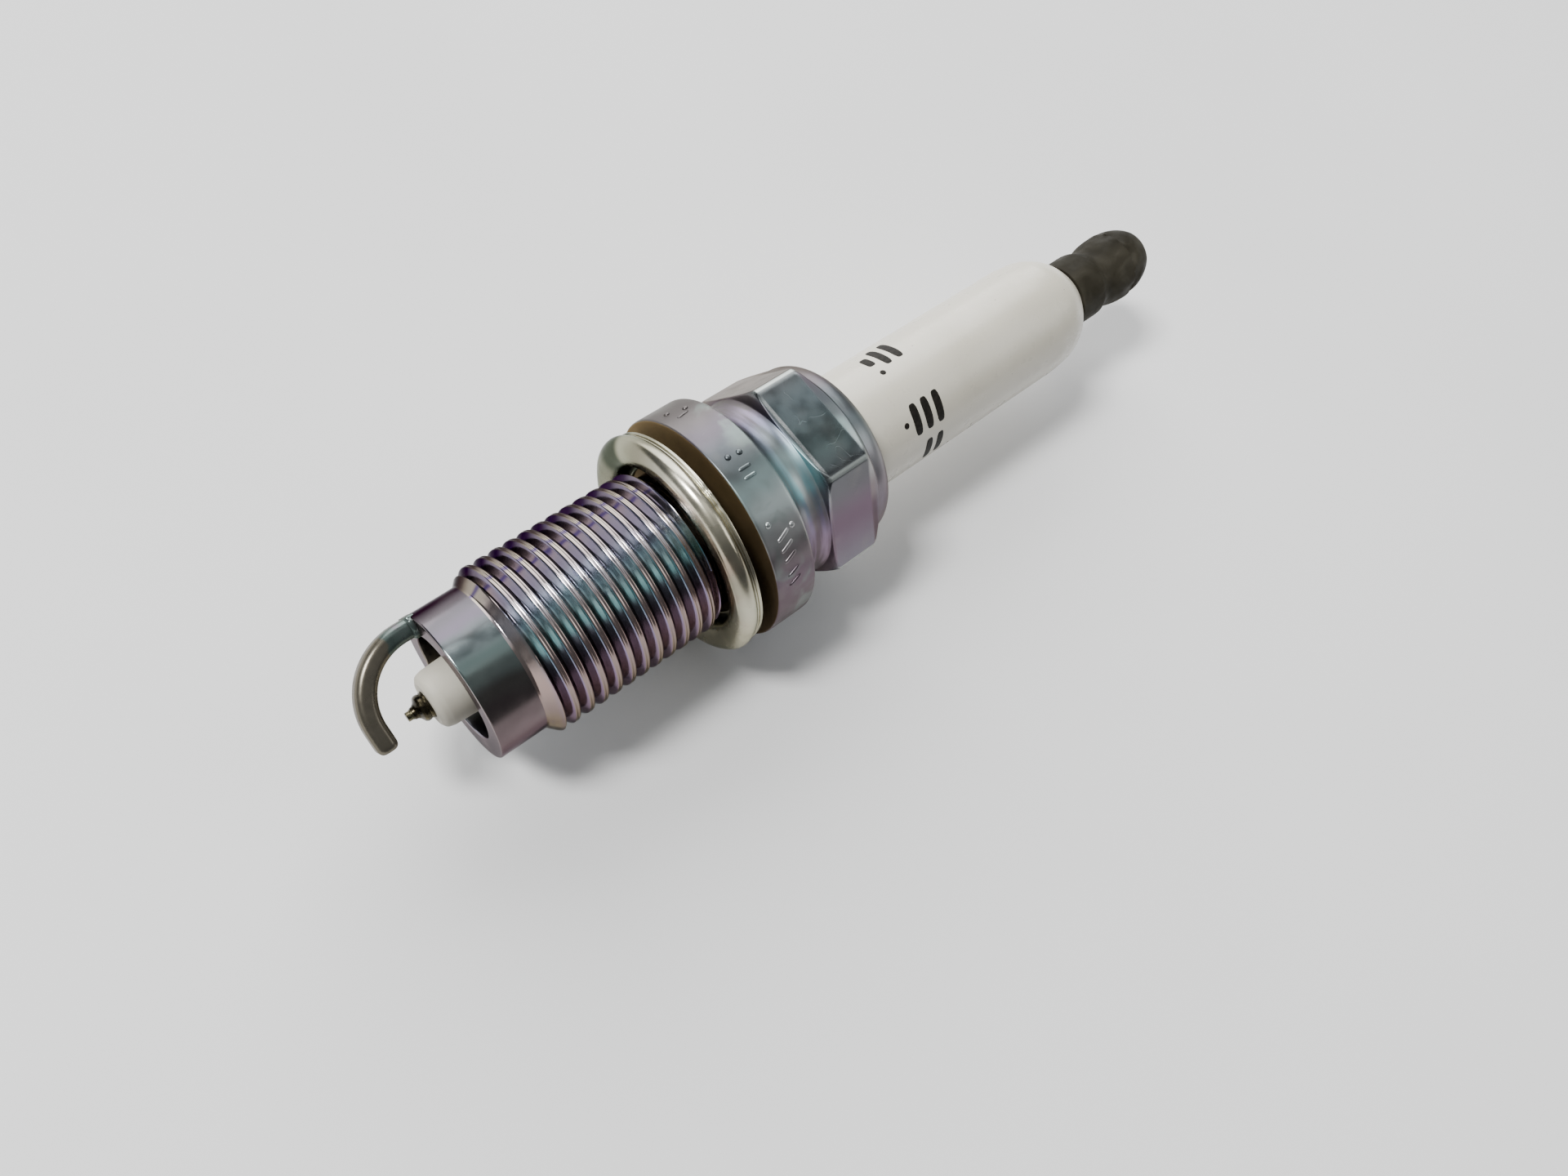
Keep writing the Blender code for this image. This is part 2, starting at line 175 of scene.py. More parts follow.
def grid_faces(rows, columns, wrap_rows, wrap_columns):
    faces = []
    for i in range(rows if wrap_rows else rows - 1):
        for j in range(columns if wrap_columns else columns - 1):
            below = (i + 1) % rows
            right = (j + 1) % columns
            corners = (i * columns + j, below * columns + j, below * columns + right, i * columns + right)
            faces.append(corners)
    return faces


def revolved(name, corners, columns, step=0.3, closed=True, shape=None, sharp_deg=40.0):
    """Turned piece. shape(x, r, theta) may push the radius about, as for flats and dents."""
    section = rounded_section(corners, step, closed)
    theta = np.linspace(-math.pi, math.pi, columns, endpoint=False)
    x = section[:, 0][:, None]
    r = section[:, 1][:, None]
    radius = shape(x, r, theta[None, :]) if shape else r
    points = place_round(x, radius, theta[None, :]).reshape(-1, 3)
    faces = grid_faces(len(section), columns, closed, True)
    return mesh_object(name, points, faces, sharp_deg)


def threaded_sleeve(name, x_range, inner_r, pitch, columns, rows_per_pitch, radius_at):
    """Sleeve whose rows follow the helix, so that its crests are smooth lines."""
    low, high = x_range
    row_step = pitch / rows_per_pitch
    row_count = int(math.ceil((high - low + pitch) / row_step)) + 1
    theta = np.linspace(-math.pi, math.pi, columns + 1)
    station = low - 0.5 * pitch + row_step * np.arange(row_count)
    x = station[:, None] - pitch * theta[None, :] / (2.0 * math.pi)
    x = np.clip(x, low, high)
    x = np.vstack([x[:1], x, x[-1:]])
    around = np.broadcast_to(theta[None, :], x.shape)
    r = radius_at(x, around)
    r[0] = inner_r
    r[-1] = inner_r
    x[0] = low
    x[-1] = high
    points = place_round(x, r, around).reshape(-1, 3)
    faces = grid_faces(len(x), columns + 1, True, False)
    return mesh_object(name, points, faces, 60.0)


def distance_from_crest(x, theta, crest_x, pitch):
    """Signed distance along X to the nearest turn of a right-hand crest."""
    turn = (x - crest_x) / pitch + theta / (2.0 * math.pi)
    return (turn - np.round(turn)) * pitch


def pad_on_cylinder(name, centre_x, centre_deg, radius, size, tilt_deg, height, squareness=4.0):
    """Small raised pad with a rounded outline, wrapped on a cylinder. Size is along X and round it."""
    rings = 7
    columns = 28
    tilt = math.radians(tilt_deg)
    points = []
    for ring in range(rings + 1):
        out = ring / rings
        rise = height * (1.0 - out ** 3) - 0.06 * (ring == rings)
        for column in range(columns):
            angle = 2.0 * math.pi * column / columns
            c = math.cos(angle)
            s = math.sin(angle)
            reach = (abs(c) ** squareness + abs(s) ** squareness) ** (-1.0 / squareness)
            u = 0.5 * size[0] * c * reach * out
            v = 0.5 * size[1] * s * reach * out
            along = u * math.cos(tilt) - v * math.sin(tilt)
            across = u * math.sin(tilt) + v * math.cos(tilt)
            theta = math.radians(centre_deg) + across / radius
            points.append(place_round(centre_x + along, radius + rise, theta))
    faces = grid_faces(rings + 1, columns, False, True)
    faces.append(tuple(range(rings * columns, (rings + 1) * columns)))
    return mesh_object(name, np.array(points), faces, 75.0)


def joined(name, items):
    """One mesh out of several small ones."""
    shape = bmesh.new()
    for item in items:
        shape.from_mesh(item.data)
    mesh = bpy.data.meshes.new(name)
    shape.to_mesh(mesh)
    shape.free()
    mesh.shade_smooth()
    mesh.set_sharp_from_angle(angle=math.radians(75.0))
    for item in items:
        bpy.data.objects.remove(item, do_unlink=True)
    whole = bpy.data.objects.new(name, mesh)
    bpy.context.scene.collection.objects.link(whole)
    return whole


# ---------------------------------------------------------------- material helpers


class Finish:
    """Small builder for one procedural Principled material."""

    def __init__(self, name, roughness, metallic, **constants):
        self.material = bpy.data.materials.new(name)
        self.material.use_nodes = True
        self.tree = self.material.node_tree
        self.shader = self.tree.nodes["Principled BSDF"]
        self.shader.inputs["Roughness"].default_value = roughness
        self.shader.inputs["Metallic"].default_value = metallic
        for key, value in constants.items():
            self.shader.inputs[key.replace("_", " ").title().replace("Ior", "IOR")].default_value = value
        self.coordinates = self.tree.nodes.new("ShaderNodeTexCoord")
        self.position = self.coordinates.outputs["Object"]
        self.normal = self.coordinates.outputs["Normal"]

    def put(self, socket, value):
        if isinstance(value, bpy.types.NodeSocket):
            self.tree.links.new(value, socket)
        else:
            socket.default_value = value

    def math(self, operation, a, b=0.0):
        node = self.tree.nodes.new("ShaderNodeMath")
        node.operation = operation
        self.put(node.inputs[0], a)
        self.put(node.inputs[1], b)
        return node.outputs[0]

    def times(self, a, b):
        return self.math("MULTIPLY", a, b)

    def plus(self, a, b):
        return self.math("ADD", a, b)

    def axes(self, vector):
        node = self.tree.nodes.new("ShaderNodeSeparateXYZ")
        self.put(node.inputs[0], vector)
        return node.outputs

    def vector(self, x, y, z):
        node = self.tree.nodes.new("ShaderNodeCombineXYZ")
        for socket, value in zip(node.inputs, (x, y, z)):
            self.put(socket, value)
        return node.outputs[0]

    def noise(self, vector, scale, detail=3.0, rough=0.5, distortion=0.0):
        node = self.tree.nodes.new("ShaderNodeTexNoise")
        self.put(node.inputs["Vector"], vector)
        node.inputs["Scale"].default_value = scale
        node.inputs["Detail"].default_value = detail
        node.inputs["Roughness"].default_value = rough
        node.inputs["Distortion"].default_value = distortion
        return node.outputs["Fac"]

    def band(self, value, low, high, to_low=0.0, to_high=1.0):
        """Smooth step of a value from low to high."""
        node = self.tree.nodes.new("ShaderNodeMapRange")
        node.interpolation_type = "SMOOTHSTEP"
        self.put(node.inputs["Value"], value)
        node.inputs["From Min"].default_value = low
        node.inputs["From Max"].default_value = high
        node.inputs["To Min"].default_value = to_low
        node.inputs["To Max"].default_value = to_high
        return node.outputs["Result"]

    def zone(self, value, rise_mm, fall_mm):
        """Mask that rises over one span of a coordinate and falls again over another."""
        rise = self.band(value, rise_mm[0] * MM, rise_mm[1] * MM)
        fall = self.band(value, fall_mm[0] * MM, fall_mm[1] * MM)
        return self.times(rise, fall)

    def ramp(self, value, stops):
        node = self.tree.nodes.new("ShaderNodeValToRGB")
        node.color_ramp.interpolation = "EASE"
        elements = node.color_ramp.elements
        while len(elements) < len(stops):
            elements.new(0.5)
        for element, (place, colour) in zip(elements, stops):
            element.position = place
            element.color = (*colour, 1.0)
        self.put(node.inputs[0], value)
        return node.outputs[0]

    def mix(self, share, a, b, blend="MIX"):
        node = self.tree.nodes.new("ShaderNodeMix")
        node.data_type = "RGBA"
        node.blend_type = blend
        self.put(node.inputs[0], share)
        for socket, value in ((node.inputs[6], a), (node.inputs[7], b)):
            self.put(socket, (*value, 1.0) if isinstance(value, tuple) else value)
        return node.outputs[2]

    def colour(self, value):
        self.put(self.shader.inputs["Base Color"], value)

    def roughness(self, value):
        self.put(self.shader.inputs["Roughness"], value)

    def edge_tint(self, value):
        """Reflection colour of a metal seen at a flat angle."""
        self.put(self.shader.inputs["Specular Tint"], value)

    def bump(self, height, distance_mm, strength=1.0):
        node = self.tree.nodes.new("ShaderNodeBump")
        node.inputs["Distance"].default_value = distance_mm * MM
        node.inputs["Strength"].default_value = strength
        self.put(node.inputs["Height"], height)
        previous = self.shader.inputs["Normal"].links
        if previous:
            self.tree.links.new(previous[0].from_socket, node.inputs["Normal"])
        self.tree.links.new(node.outputs[0], self.shader.inputs["Normal"])


def axis_angle(finish):
    """Angle round the plug as 0 to 1, with 0.5 at +Z and 0.75 at +Y."""
    _, y, z = finish.axes(finish.position)
    angle = finish.math("ARCTAN2", y, z)
    return finish.plus(finish.times(angle, 1.0 / (2.0 * math.pi)), 0.5)


def turning_height(finish, lines_per_mm):
    """Fine rings as left by a lathe, on faces and on round sides alike."""
    x, y, z = finish.axes(finish.position)
    radius = finish.math("SQRT", finish.plus(finish.times(y, y), finish.times(z, z)))
    run = finish.plus(x, radius)
    return finish.noise(finish.vector(run, 0.0, 0.0), lines_per_mm / MM, 4.0, 0.7)


# Film colours of the plating round the axis, from -Z through -Y, +Z and +Y back to -Z.
# They were tuned to one photo and hold painted shade, painted highlights and painted reflections of its
# light beside the film's own colour.
BODY_FILM_AND_LIGHT = (
    (0.00, (0.22, 0.26, 0.27)),
    (0.14, (0.22, 0.20, 0.16)),
    (0.30, (0.25, 0.23, 0.21)),
    (0.335, (0.095, 0.088, 0.08)),
    (0.37, (0.10, 0.09, 0.088)),
    (0.40, (0.115, 0.105, 0.105)),
    (0.44, (0.10, 0.09, 0.105)),
    (0.475, (0.095, 0.105, 0.115)),
    (0.50, (0.13, 0.15, 0.155)),
    (0.53, (0.32, 0.42, 0.42)),
    (0.56, (0.50, 0.58, 0.575)),
    (0.60, (0.41, 0.41, 0.41)),
    (0.635, (0.20, 0.17, 0.18)),
    (0.67, (0.12, 0.09, 0.11)),
    (0.72, (0.105, 0.078, 0.09)),
    (0.80, (0.13, 0.105, 0.11)),
    (0.90, (0.20, 0.20, 0.23)),
    (1.00, (0.22, 0.26, 0.27)),
)
HEXAGON_FILM_AND_LIGHT = (
    (0.00, (0.20, 0.22, 0.24)),
    (0.17, (0.20, 0.18, 0.20)),
    (0.33, (0.12, 0.11, 0.10)),
    (0.40, (0.10, 0.10, 0.10)),
    (0.46, (0.12, 0.15, 0.16)),
    (0.54, (0.13, 0.17, 0.17)),
    (0.60, (0.11, 0.11, 0.12)),
    (0.667, (0.125, 0.09, 0.12)),
    (0.83, (0.18, 0.20, 0.22)),
    (1.00, (0.20, 0.22, 0.24)),
)
NOSE_FILM_AND_LIGHT = (
    (0.00, (0.24, 0.28, 0.29)),
    (0.14, (0.24, 0.21, 0.17)),
    (0.27, (0.10, 0.09, 0.09)),
    (0.355, (0.07, 0.06, 0.065)),
    (0.39, (0.13, 0.115, 0.125)),
    (0.42, (0.085, 0.08, 0.09)),
    (0.45, (0.095, 0.085, 0.105)),
    (0.475, (0.09, 0.10, 0.105)),
    (0.495, (0.40, 0.47, 0.48)),
    (0.53, (0.20, 0.27, 0.26)),
    (0.565, (0.30, 0.35, 0.33)),
    (0.60, (0.15, 0.14, 0.13)),
    (0.63, (0.13, 0.105, 0.105)),
    (0.67, (0.11, 0.085, 0.088)),
    (0.72, (0.20, 0.155, 0.16)),
    (0.77, (0.34, 0.28, 0.29)),
    (0.90, (0.23, 0.22, 0.26)),
    (1.00, (0.24, 0.28, 0.29)),
)
FLANK_FILM_AND_LIGHT = (
    (0.00, (0.14, 0.26, 0.28)),
    (0.16, (0.20, 0.17, 0.20)),
    (0.28, (0.08, 0.06, 0.09)),
    (0.345, (0.06, 0.045, 0.07)),
    (0.38, (0.15, 0.125, 0.16)),
    (0.42, (0.22, 0.19, 0.27)),
    (0.45, (0.20, 0.20, 0.29)),
    (0.50, (0.22, 0.26, 0.32)),
    (0.53, (0.44, 0.68, 0.73)),
    (0.57, (0.25, 0.58, 0.64)),
    (0.60, (0.23, 0.30, 0.40)),
    (0.64, (0.22, 0.18, 0.28)),
    (0.69, (0.26, 0.19, 0.27)),
    (0.78, (0.34, 0.26, 0.30)),
    (0.90, (0.17, 0.21, 0.28)),
    (1.00, (0.14, 0.26, 0.28)),
)
CREST_FILM_AND_LIGHT = (
    (0.00, (0.26, 0.23, 0.18)),
    (0.20, (0.22, 0.19, 0.16)),
    (0.30, (0.08, 0.075, 0.07)),
    (0.36, (0.10, 0.085, 0.08)),
    (0.403, (0.30, 0.26, 0.21)),
    (0.412, (0.08, 0.06, 0.14)),
    (0.422, (0.30, 0.26, 0.22)),
    (0.47, (0.28, 0.235, 0.235)),
    (0.51, (0.60, 0.56, 0.60)),
    (0.56, (0.50, 0.41, 0.38)),
    (0.62, (0.34, 0.25, 0.23)),
    (0.67, (0.26, 0.20, 0.185)),
    (0.72, (0.30, 0.24, 0.19)),
    (0.77, (0.42, 0.36, 0.26)),
    (0.90, (0.28, 0.24, 0.25)),
    (1.00, (0.26, 0.23, 0.18)),
)
# Painted light and shade that multiply a base colour round the axis, in the same order and tuned in the
# same way.
NUT_SHADE = (
    (0.00, (0.70, 0.70, 0.70)),
    (0.36, (0.52, 0.52, 0.52)),
    (0.45, (0.55, 0.55, 0.55)),
    (0.54, (0.85, 0.85, 0.85)),
    (0.60, (1.00, 1.00, 1.00)),
    (0.70, (0.85, 0.85, 0.85)),
    (0.85, (0.70, 0.70, 0.70)),
    (1.00, (0.70, 0.70, 0.70)),
)
GASKET_LIGHT_AND_SHADE = (
    (0.00, (0.80, 0.80, 0.80)),
    (0.26, (0.55, 0.56, 0.55)),
    (0.30, (0.10, 0.12, 0.11)),
    (0.335, (0.11, 0.13, 0.12)),
    (0.355, (0.80, 0.82, 0.78)),
    (0.40, (0.58, 0.57, 0.54)),
    (0.45, (0.80, 0.80, 0.82)),
    (0.49, (1.70, 1.70, 1.74)),
    (0.54, (1.90, 1.86, 1.80)),
    (0.60, (0.90, 0.85, 0.80)),
    (0.63, (0.62, 0.60, 0.58)),
    (0.68, (1.00, 1.00, 1.00)),
    (0.74, (1.25, 1.20, 1.15)),
    (1.00, (0.80, 0.80, 0.80)),
)


def drifting_angle(finish, scale_per_mm, amount):
    """Angle round the axis, shifted a little by noise so that film colours wander."""
    angle = axis_angle(finish)
    drift = finish.math("SUBTRACT", finish.noise(finish.position, scale_per_mm / MM, 3.0), 0.5)
    return finish.plus(angle, finish.times(drift, amount))


def hexagon_edges(finish, x):
    """Mask of the six long edges of the hexagon."""
    sixths = finish.times(axis_angle(finish), 6.0)
    part = finish.math("FRACT", sixths)
    off = finish.math("ABSOLUTE", finish.math("SUBTRACT", part, 0.5))
    edge = finish.band(off, 0.030, 0.012)
    along = finish.zone(x, (-11.9, -11.4), (-7.4, -7.8))
    return finish.times(edge, along)


def shell_film_and_painted_light(finish, x, angle, share, flats, edges):
    """Film colour of the shell by zone, with painted highlights on the hexagon's edges and on the upper
    flat's front edge, and painted shade on the top of the lip.
    """
    nose = finish.band(x, 8.0 * MM, 10.0 * MM)
    film = finish.mix(nose, finish.ramp(angle, BODY_FILM_AND_LIGHT), finish.ramp(angle, NOSE_FILM_AND_LIGHT))
    film = finish.mix(flats, film, finish.ramp(share, HEXAGON_FILM_AND_LIGHT))
    blotch = finish.noise(finish.position, 0.35 / MM, 3.0)
    film = finish.mix(finish.band(blotch, 0.52, 0.75, 0.0, 0.20), film, (0.22, 0.21, 0.19))

    on_flange = finish.zone(x, (0.2, -0.2), (-4.2, -3.8))
    cloud = finish.noise(finish.position, 0.30 / MM, 3.0, 0.5, 0.5)
    clouded = finish.times(on_flange, finish.band(cloud, 0.50, 0.64, 0.0, 0.45))
    film = finish.mix(clouded, film, (0.19, 0.24, 0.22))

    groove = finish.zone(x, (-7.6, -7.0), (-3.7, -4.2))
    streaks = finish.noise(finish.vector(x, finish.times(angle, 6.0 * MM), 0.0), 1.4 / MM, 3.0)
    streaked = finish.band(streaks, 0.35, 0.65)
    tint = finish.mix(streaked, finish.ramp(angle, FLANK_FILM_AND_LIGHT), finish.ramp(angle, BODY_FILM_AND_LIGHT))
    film = finish.mix(finish.times(groove, 0.75), film, tint)

    # Light lines on the hexagon's edges: worn plating, lightened further as a painted highlight.
    film = finish.mix(finish.times(edges, 0.9), film, (0.42, 0.46, 0.44))
    # Painted highlight along the front edge of the upper flat only.
    front_edge_highlight = finish.zone(x, (-7.82, -7.70), (-7.40, -7.52))
    upward = finish.times(finish.band(share, 0.42, 0.46), finish.band(share, 0.59, 0.56))
    front_edge_highlight = finish.times(finish.times(front_edge_highlight, upward), 0.8)
    film = finish.mix(front_edge_highlight, film, (0.66, 0.70, 0.69))
    # Painted shade on the top of the lip.
    lip_top_shade = finish.times(finish.band(x, -11.9 * MM, -12.3 * MM), finish.band(share, 0.49, 0.53))
    return finish.mix(finish.times(lip_top_shade, 0.5), film, (0.20, 0.19, 0.22))


def flat_scratches(finish, flats):
    """Mask of a few fine curved scratches on the flats."""
    lines = finish.noise(finish.position, 0.40 / MM, 1.0, 0.4, 1.1)
    lines = finish.math("ABSOLUTE", finish.math("SUBTRACT", lines, 0.5))
    worn = finish.band(finish.noise(finish.position, 0.35 / MM, 1.0), 0.50, 0.62)
    return finish.times(finish.times(finish.band(lines, 0.006, 0.0), worn), flats)


def shell_plating():
    """Bright zinc plating with a clear passivation film, over turned and rolled steel, with painted shade,
    highlights and reflections in its colours.
    """
    finish = Finish("shell_plating_film_and_light", 0.24, 1.0)
    x, _, _ = finish.axes(finish.position)
    nx, _, _ = finish.axes(finish.normal)
    share = axis_angle(finish)
    angle = drifting_angle(finish, 0.16, 0.06)
    flats = finish.zone(x, (-11.7, -11.4), (-7.2, -7.5))
    edges = hexagon_edges(finish, x)
    film = shell_film_and_painted_light(finish, x, angle, share, flats, edges)

    facing_front = finish.band(nx, 0.75, 0.95)
    nose_face = finish.times(facing_front, finish.band(x, 20.0 * MM, 21.0 * MM))
    film = finish.mix(nose_face, film, (0.44, 0.39, 0.385))
    seat = finish.times(facing_front, finish.zone(x, (0.6, 0.2), (-1.2, -0.4)))
    # Painted reflection of the gasket's underside and painted shade of the gap on the seat face, darker
    # towards +Y.
    seat_painted_reflection = finish.ramp(
        angle, ((0.30, (0.23, 0.165, 0.080)), (0.50, (0.17, 0.12, 0.060)), (0.72, (0.08, 0.055, 0.030)))
    )
    finish.colour(finish.mix(seat, film, seat_painted_reflection))
    behind_seat = finish.mix(finish.band(x, 0.0, 2.0 * MM), (0.75, 0.74, 0.73), (0.30, 0.28, 0.30))
    finish.edge_tint(finish.mix(finish.band(x, -6.8 * MM, -7.2 * MM), behind_seat, (0.60, 0.56, 0.53)))

    scratch = flat_scratches(finish, flats)
    haze = finish.noise(finish.position, 0.5 / MM, 3.0)
    satin = finish.times(finish.band(x, 0.4 * MM, 0.0), finish.math("SUBTRACT", 1.0, flats))
    rough = finish.plus(finish.band(haze, 0.3, 0.7, 0.17, 0.26), finish.times(seat, 0.3))
    rough = finish.plus(rough, finish.times(satin, 0.17))
    rough = finish.plus(rough, finish.times(edges, 0.25))
    finish.roughness(finish.plus(rough, finish.times(scratch, 0.10)))
    finish.bump(turning_height(finish, 5.0), 0.002, 0.4)
    finish.bump(finish.times(scratch, -1.0), 0.002, 0.4)
    return finish.material


def thread_plating():
    """The same film on rolled threads: blue to violet flanks, straw-coloured crests and roots, with painted
    shade and highlights round the axis.
    """
    finish = Finish("thread_plating_film_and_light", 0.2, 1.0)
    nx, _, _ = finish.axes(finish.normal)
    angle = drifting_angle(finish, 0.25, 0.05)
    flank = finish.ramp(angle, FLANK_FILM_AND_LIGHT)
    crest = finish.ramp(angle, CREST_FILM_AND_LIGHT)
    x, _, _ = finish.axes(finish.position)
    full_turns = finish.band(x, 18.0 * MM, 17.2 * MM)
    film = finish.mix(finish.times(finish.band(nx, 0.30, 0.68), full_turns), crest, flank)
    spots = finish.noise(finish.position, 0.8 / MM, 2.0)
    film = finish.mix(finish.band(spots, 0.62, 0.76, 0.0, 0.25), film, (0.09, 0.08, 0.20))
    finish.colour(film)
    haze = finish.noise(finish.position, 1.2 / MM, 3.0)
    finish.roughness(finish.band(haze, 0.3, 0.7, 0.15, 0.24))
    finish.edge_tint((0.31, 0.30, 0.31, 1.0))
    finish.bump(finish.noise(finish.position, 2.0 / MM, 2.0), 0.003, 0.3)
    return finish.material


def gasket_metal():
    """Pale bright sheet steel with a warm tone and soft forming ripples."""
    finish = Finish("gasket_sheet", 0.2, 1.0)
    blotch = finish.noise(finish.position, 0.22 / MM, 3.0)
    warm = finish.ramp(
        blotch, ((0.32, (0.36, 0.35, 0.27)), (0.55, (0.46, 0.44, 0.35)), (0.74, (0.40, 0.33, 0.27)))
    )
    # Painted light and shade round the axis: a dark band on the upper -Y side and a painted highlight along
    # the top.
    finish.colour(finish.mix(1.0, warm, finish.ramp(axis_angle(finish), GASKET_LIGHT_AND_SHADE), "MULTIPLY"))
    finish.edge_tint((0.60, 0.62, 0.58, 1.0))
    haze = finish.noise(finish.position, 0.7 / MM, 3.0)
    finish.roughness(finish.band(haze, 0.3, 0.7, 0.20, 0.28))
    finish.bump(finish.noise(finish.position, 0.5 / MM, 2.0), 0.02, 0.4)
    return finish.material


def strap_metal():
    """Drawn nickel alloy bar, plated over at the weld end."""
    finish = Finish("strap_nickel", 0.4, 0.8, specular_ior_level=0.3)
    x, y, z = finish.axes(finish.position)
    grain = finish.noise(finish.position, 0.5 / MM, 4.0)
    nickel = finish.ramp(
        grain, ((0.30, (0.13, 0.118, 0.092)), (0.55, (0.155, 0.14, 0.11)), (0.80, (0.185, 0.167, 0.132)))
    )
    edge = finish.plus(x, finish.times(finish.noise(finish.position, 0.8 / MM), 1.2 * MM))
    plated = finish.band(edge, 25.5 * MM, 25.2 * MM)
    film = finish.ramp(
        finish.noise(finish.position, 0.5 / MM, 2.0),
        ((0.35, (0.085, 0.115, 0.105)), (0.55, (0.115, 0.145, 0.135)), (0.72, (0.135, 0.125, 0.14))),
    )
    finish.colour(finish.mix(plated, nickel, film))
    haze = finish.noise(finish.position, 1.2 / MM, 3.0)
    finish.edge_tint((0.45, 0.43, 0.40, 1.0))
    finish.roughness(finish.band(haze, 0.3, 0.7, 0.26, 0.33))
    finish.bump(finish.noise(finish.vector(x, finish.times(y, 0.3), z), 1.0 / MM, 2.0), 0.002, 0.4)
    return finish.material


def glaze():
    """Warm white glazed alumina with a few dark specks."""
    finish = Finish("insulator_glaze_white", 0.3, 0.0, coat_weight=0.25, coat_roughness=0.22)
    tone = finish.noise(finish.position, 0.12 / MM, 3.0)
    white = finish.ramp(tone, ((0.30, (0.60, 0.565, 0.465)), (0.70, (0.65, 0.615, 0.515))))
    # Painted shade: the glaze is darker towards the +Y side.
    shaded_side = finish.band(axis_angle(finish), 0.60, 0.72, 0.0, 0.60)
    white = finish.mix(shaded_side, white, (0.44, 0.41, 0.35))
    specks = finish.noise(finish.position, 1.7 / MM, 1.0)
    white = finish.mix(finish.band(specks, 0.800, 0.815, 0.0, 0.8), white, (0.16, 0.14, 0.11))
    finish.colour(white)
    finish.roughness(finish.band(finish.noise(finish.position, 0.8 / MM, 3.0), 0.3, 0.7, 0.26, 0.38))
    finish.bump(finish.noise(finish.position, 1.3 / MM, 4.0), 0.010, 0.4)
    return finish.material


def bare_alumina():
    """Unglazed warm white ceramic of the firing nose."""
    finish = Finish("insulator_nose_bare", 0.6, 0.0)
    tone = finish.noise(finish.position, 0.5 / MM, 4.0)
    white = finish.ramp(tone, ((0.30, (0.56, 0.53, 0.44)), (0.70, (0.62, 0.585, 0.49))))
    # Painted shade: the bare ceramic is darker towards the +Y side.
    shaded_side = finish.band(axis_angle(finish), 0.54, 0.70, 0.0, 0.75)
    finish.colour(finish.mix(shaded_side, white, (0.26, 0.24, 0.20)))
    finish.roughness(finish.band(finish.noise(finish.position, 2.0 / MM, 3.0), 0.3, 0.7, 0.52, 0.70))
    finish.bump(finish.noise(finish.position, 5.0 / MM, 4.0), 0.006, 0.4)
    return finish.material


def printed_ink():
    """Dark fired print."""
    finish = Finish("fired_print", 0.60, 0.0, specular_ior_level=0.15)
    grain = finish.noise(finish.position, 4.0 / MM, 3.0)
    finish.colour(finish.ramp(grain, ((0.35, (0.008, 0.007, 0.005)), (0.70, (0.018, 0.015, 0.012)))))
    finish.bump(grain, 0.006, 0.5)
    return finish.material


def dark_electrode():
    """Nickel alloy centre electrode with bronze heat tint."""
    finish = Finish("centre_electrode_tint", 0.26, 1.0)
    grain = finish.noise(finish.position, 1.8 / MM, 4.0)
    tint = finish.ramp(
        grain, ((0.34, (0.022, 0.019, 0.013)), (0.56, (0.050, 0.042, 0.026)), (0.78, (0.12, 0.10, 0.05)))
    )
    finish.colour(tint)
    finish.roughness(finish.band(finish.noise(finish.position, 3.0 / MM), 0.3, 0.7, 0.16, 0.38))
    finish.bump(turning_height(finish, 4.0), 0.006, 0.5)
    return finish.material


def fine_wire():
    """Dull precious metal of the firing tip."""
    finish = Finish("fine_wire_metal", 0.3, 1.0)
    grain = finish.noise(finish.position, 4.0 / MM, 4.0)
    finish.colour(finish.ramp(grain, ((0.35, (0.06, 0.055, 0.035)), (0.65, (0.20, 0.18, 0.11)))))
    finish.bump(turning_height(finish, 9.0), 0.01, 0.5)
    return finish.material


def dark_nut():
    """Blackened steel terminal nut with soft wear patches."""
    finish = Finish("terminal_black_steel", 0.6, 0.0, specular_ior_level=0.05)
    patch = finish.noise(finish.position, 0.42 / MM, 3.0, 0.5, 0.6)
    colour = finish.ramp(
        patch, ((0.30, (0.029, 0.026, 0.018)), (0.52, (0.040, 0.036, 0.026)), (0.72, (0.057, 0.052, 0.039)))
    )
    # Painted light and shade round the axis: darkest on the upper -Y side, lightest towards +Y.
    finish.colour(finish.mix(1.0, colour, finish.ramp(axis_angle(finish), NUT_SHADE), "MULTIPLY"))
    finish.roughness(finish.band(finish.noise(finish.position, 1.0 / MM, 4.0), 0.3, 0.7, 0.50, 0.68))
    finish.bump(finish.noise(finish.position, 2.2 / MM, 5.0), 0.02, 0.5)
    return finish.material


def plain_metal(name, dark, light, low_rough, high_rough, scale_per_mm=1.5, metallic=1.0):
    """Mottled finish for the pieces inside the plug and for the stud."""
    finish = Finish(name, low_rough, metallic)
    grain = finish.noise(finish.position, scale_per_mm / MM, 4.0)
    finish.colour(finish.ramp(grain, ((0.35, dark), (0.68, light))))
    finish.roughness(finish.band(grain, 0.3, 0.7, low_rough, high_rough))
    finish.bump(grain, 0.01, 0.5)
    return finish.material


# ---------------------------------------------------------------- pieces


def hexagon(x, r, theta):
    """Trim a turned radius to six flats, two of them facing up and down."""
    sixth = math.pi / 3.0
    off = theta - np.round(theta / sixth) * sixth
    flat = HEX_APOTHEM / np.cos(off)
    inside = (x < HEX_ZONE[1]) & (x > HEX_ZONE[0]) & (r > HEX_INNER_R)
    return np.where(inside, soft_min(r, flat, 0.15), r)


def shell_step(x):
    return 0.07 if HEX_ZONE[0] < x < HEX_ZONE[1] else 0.30


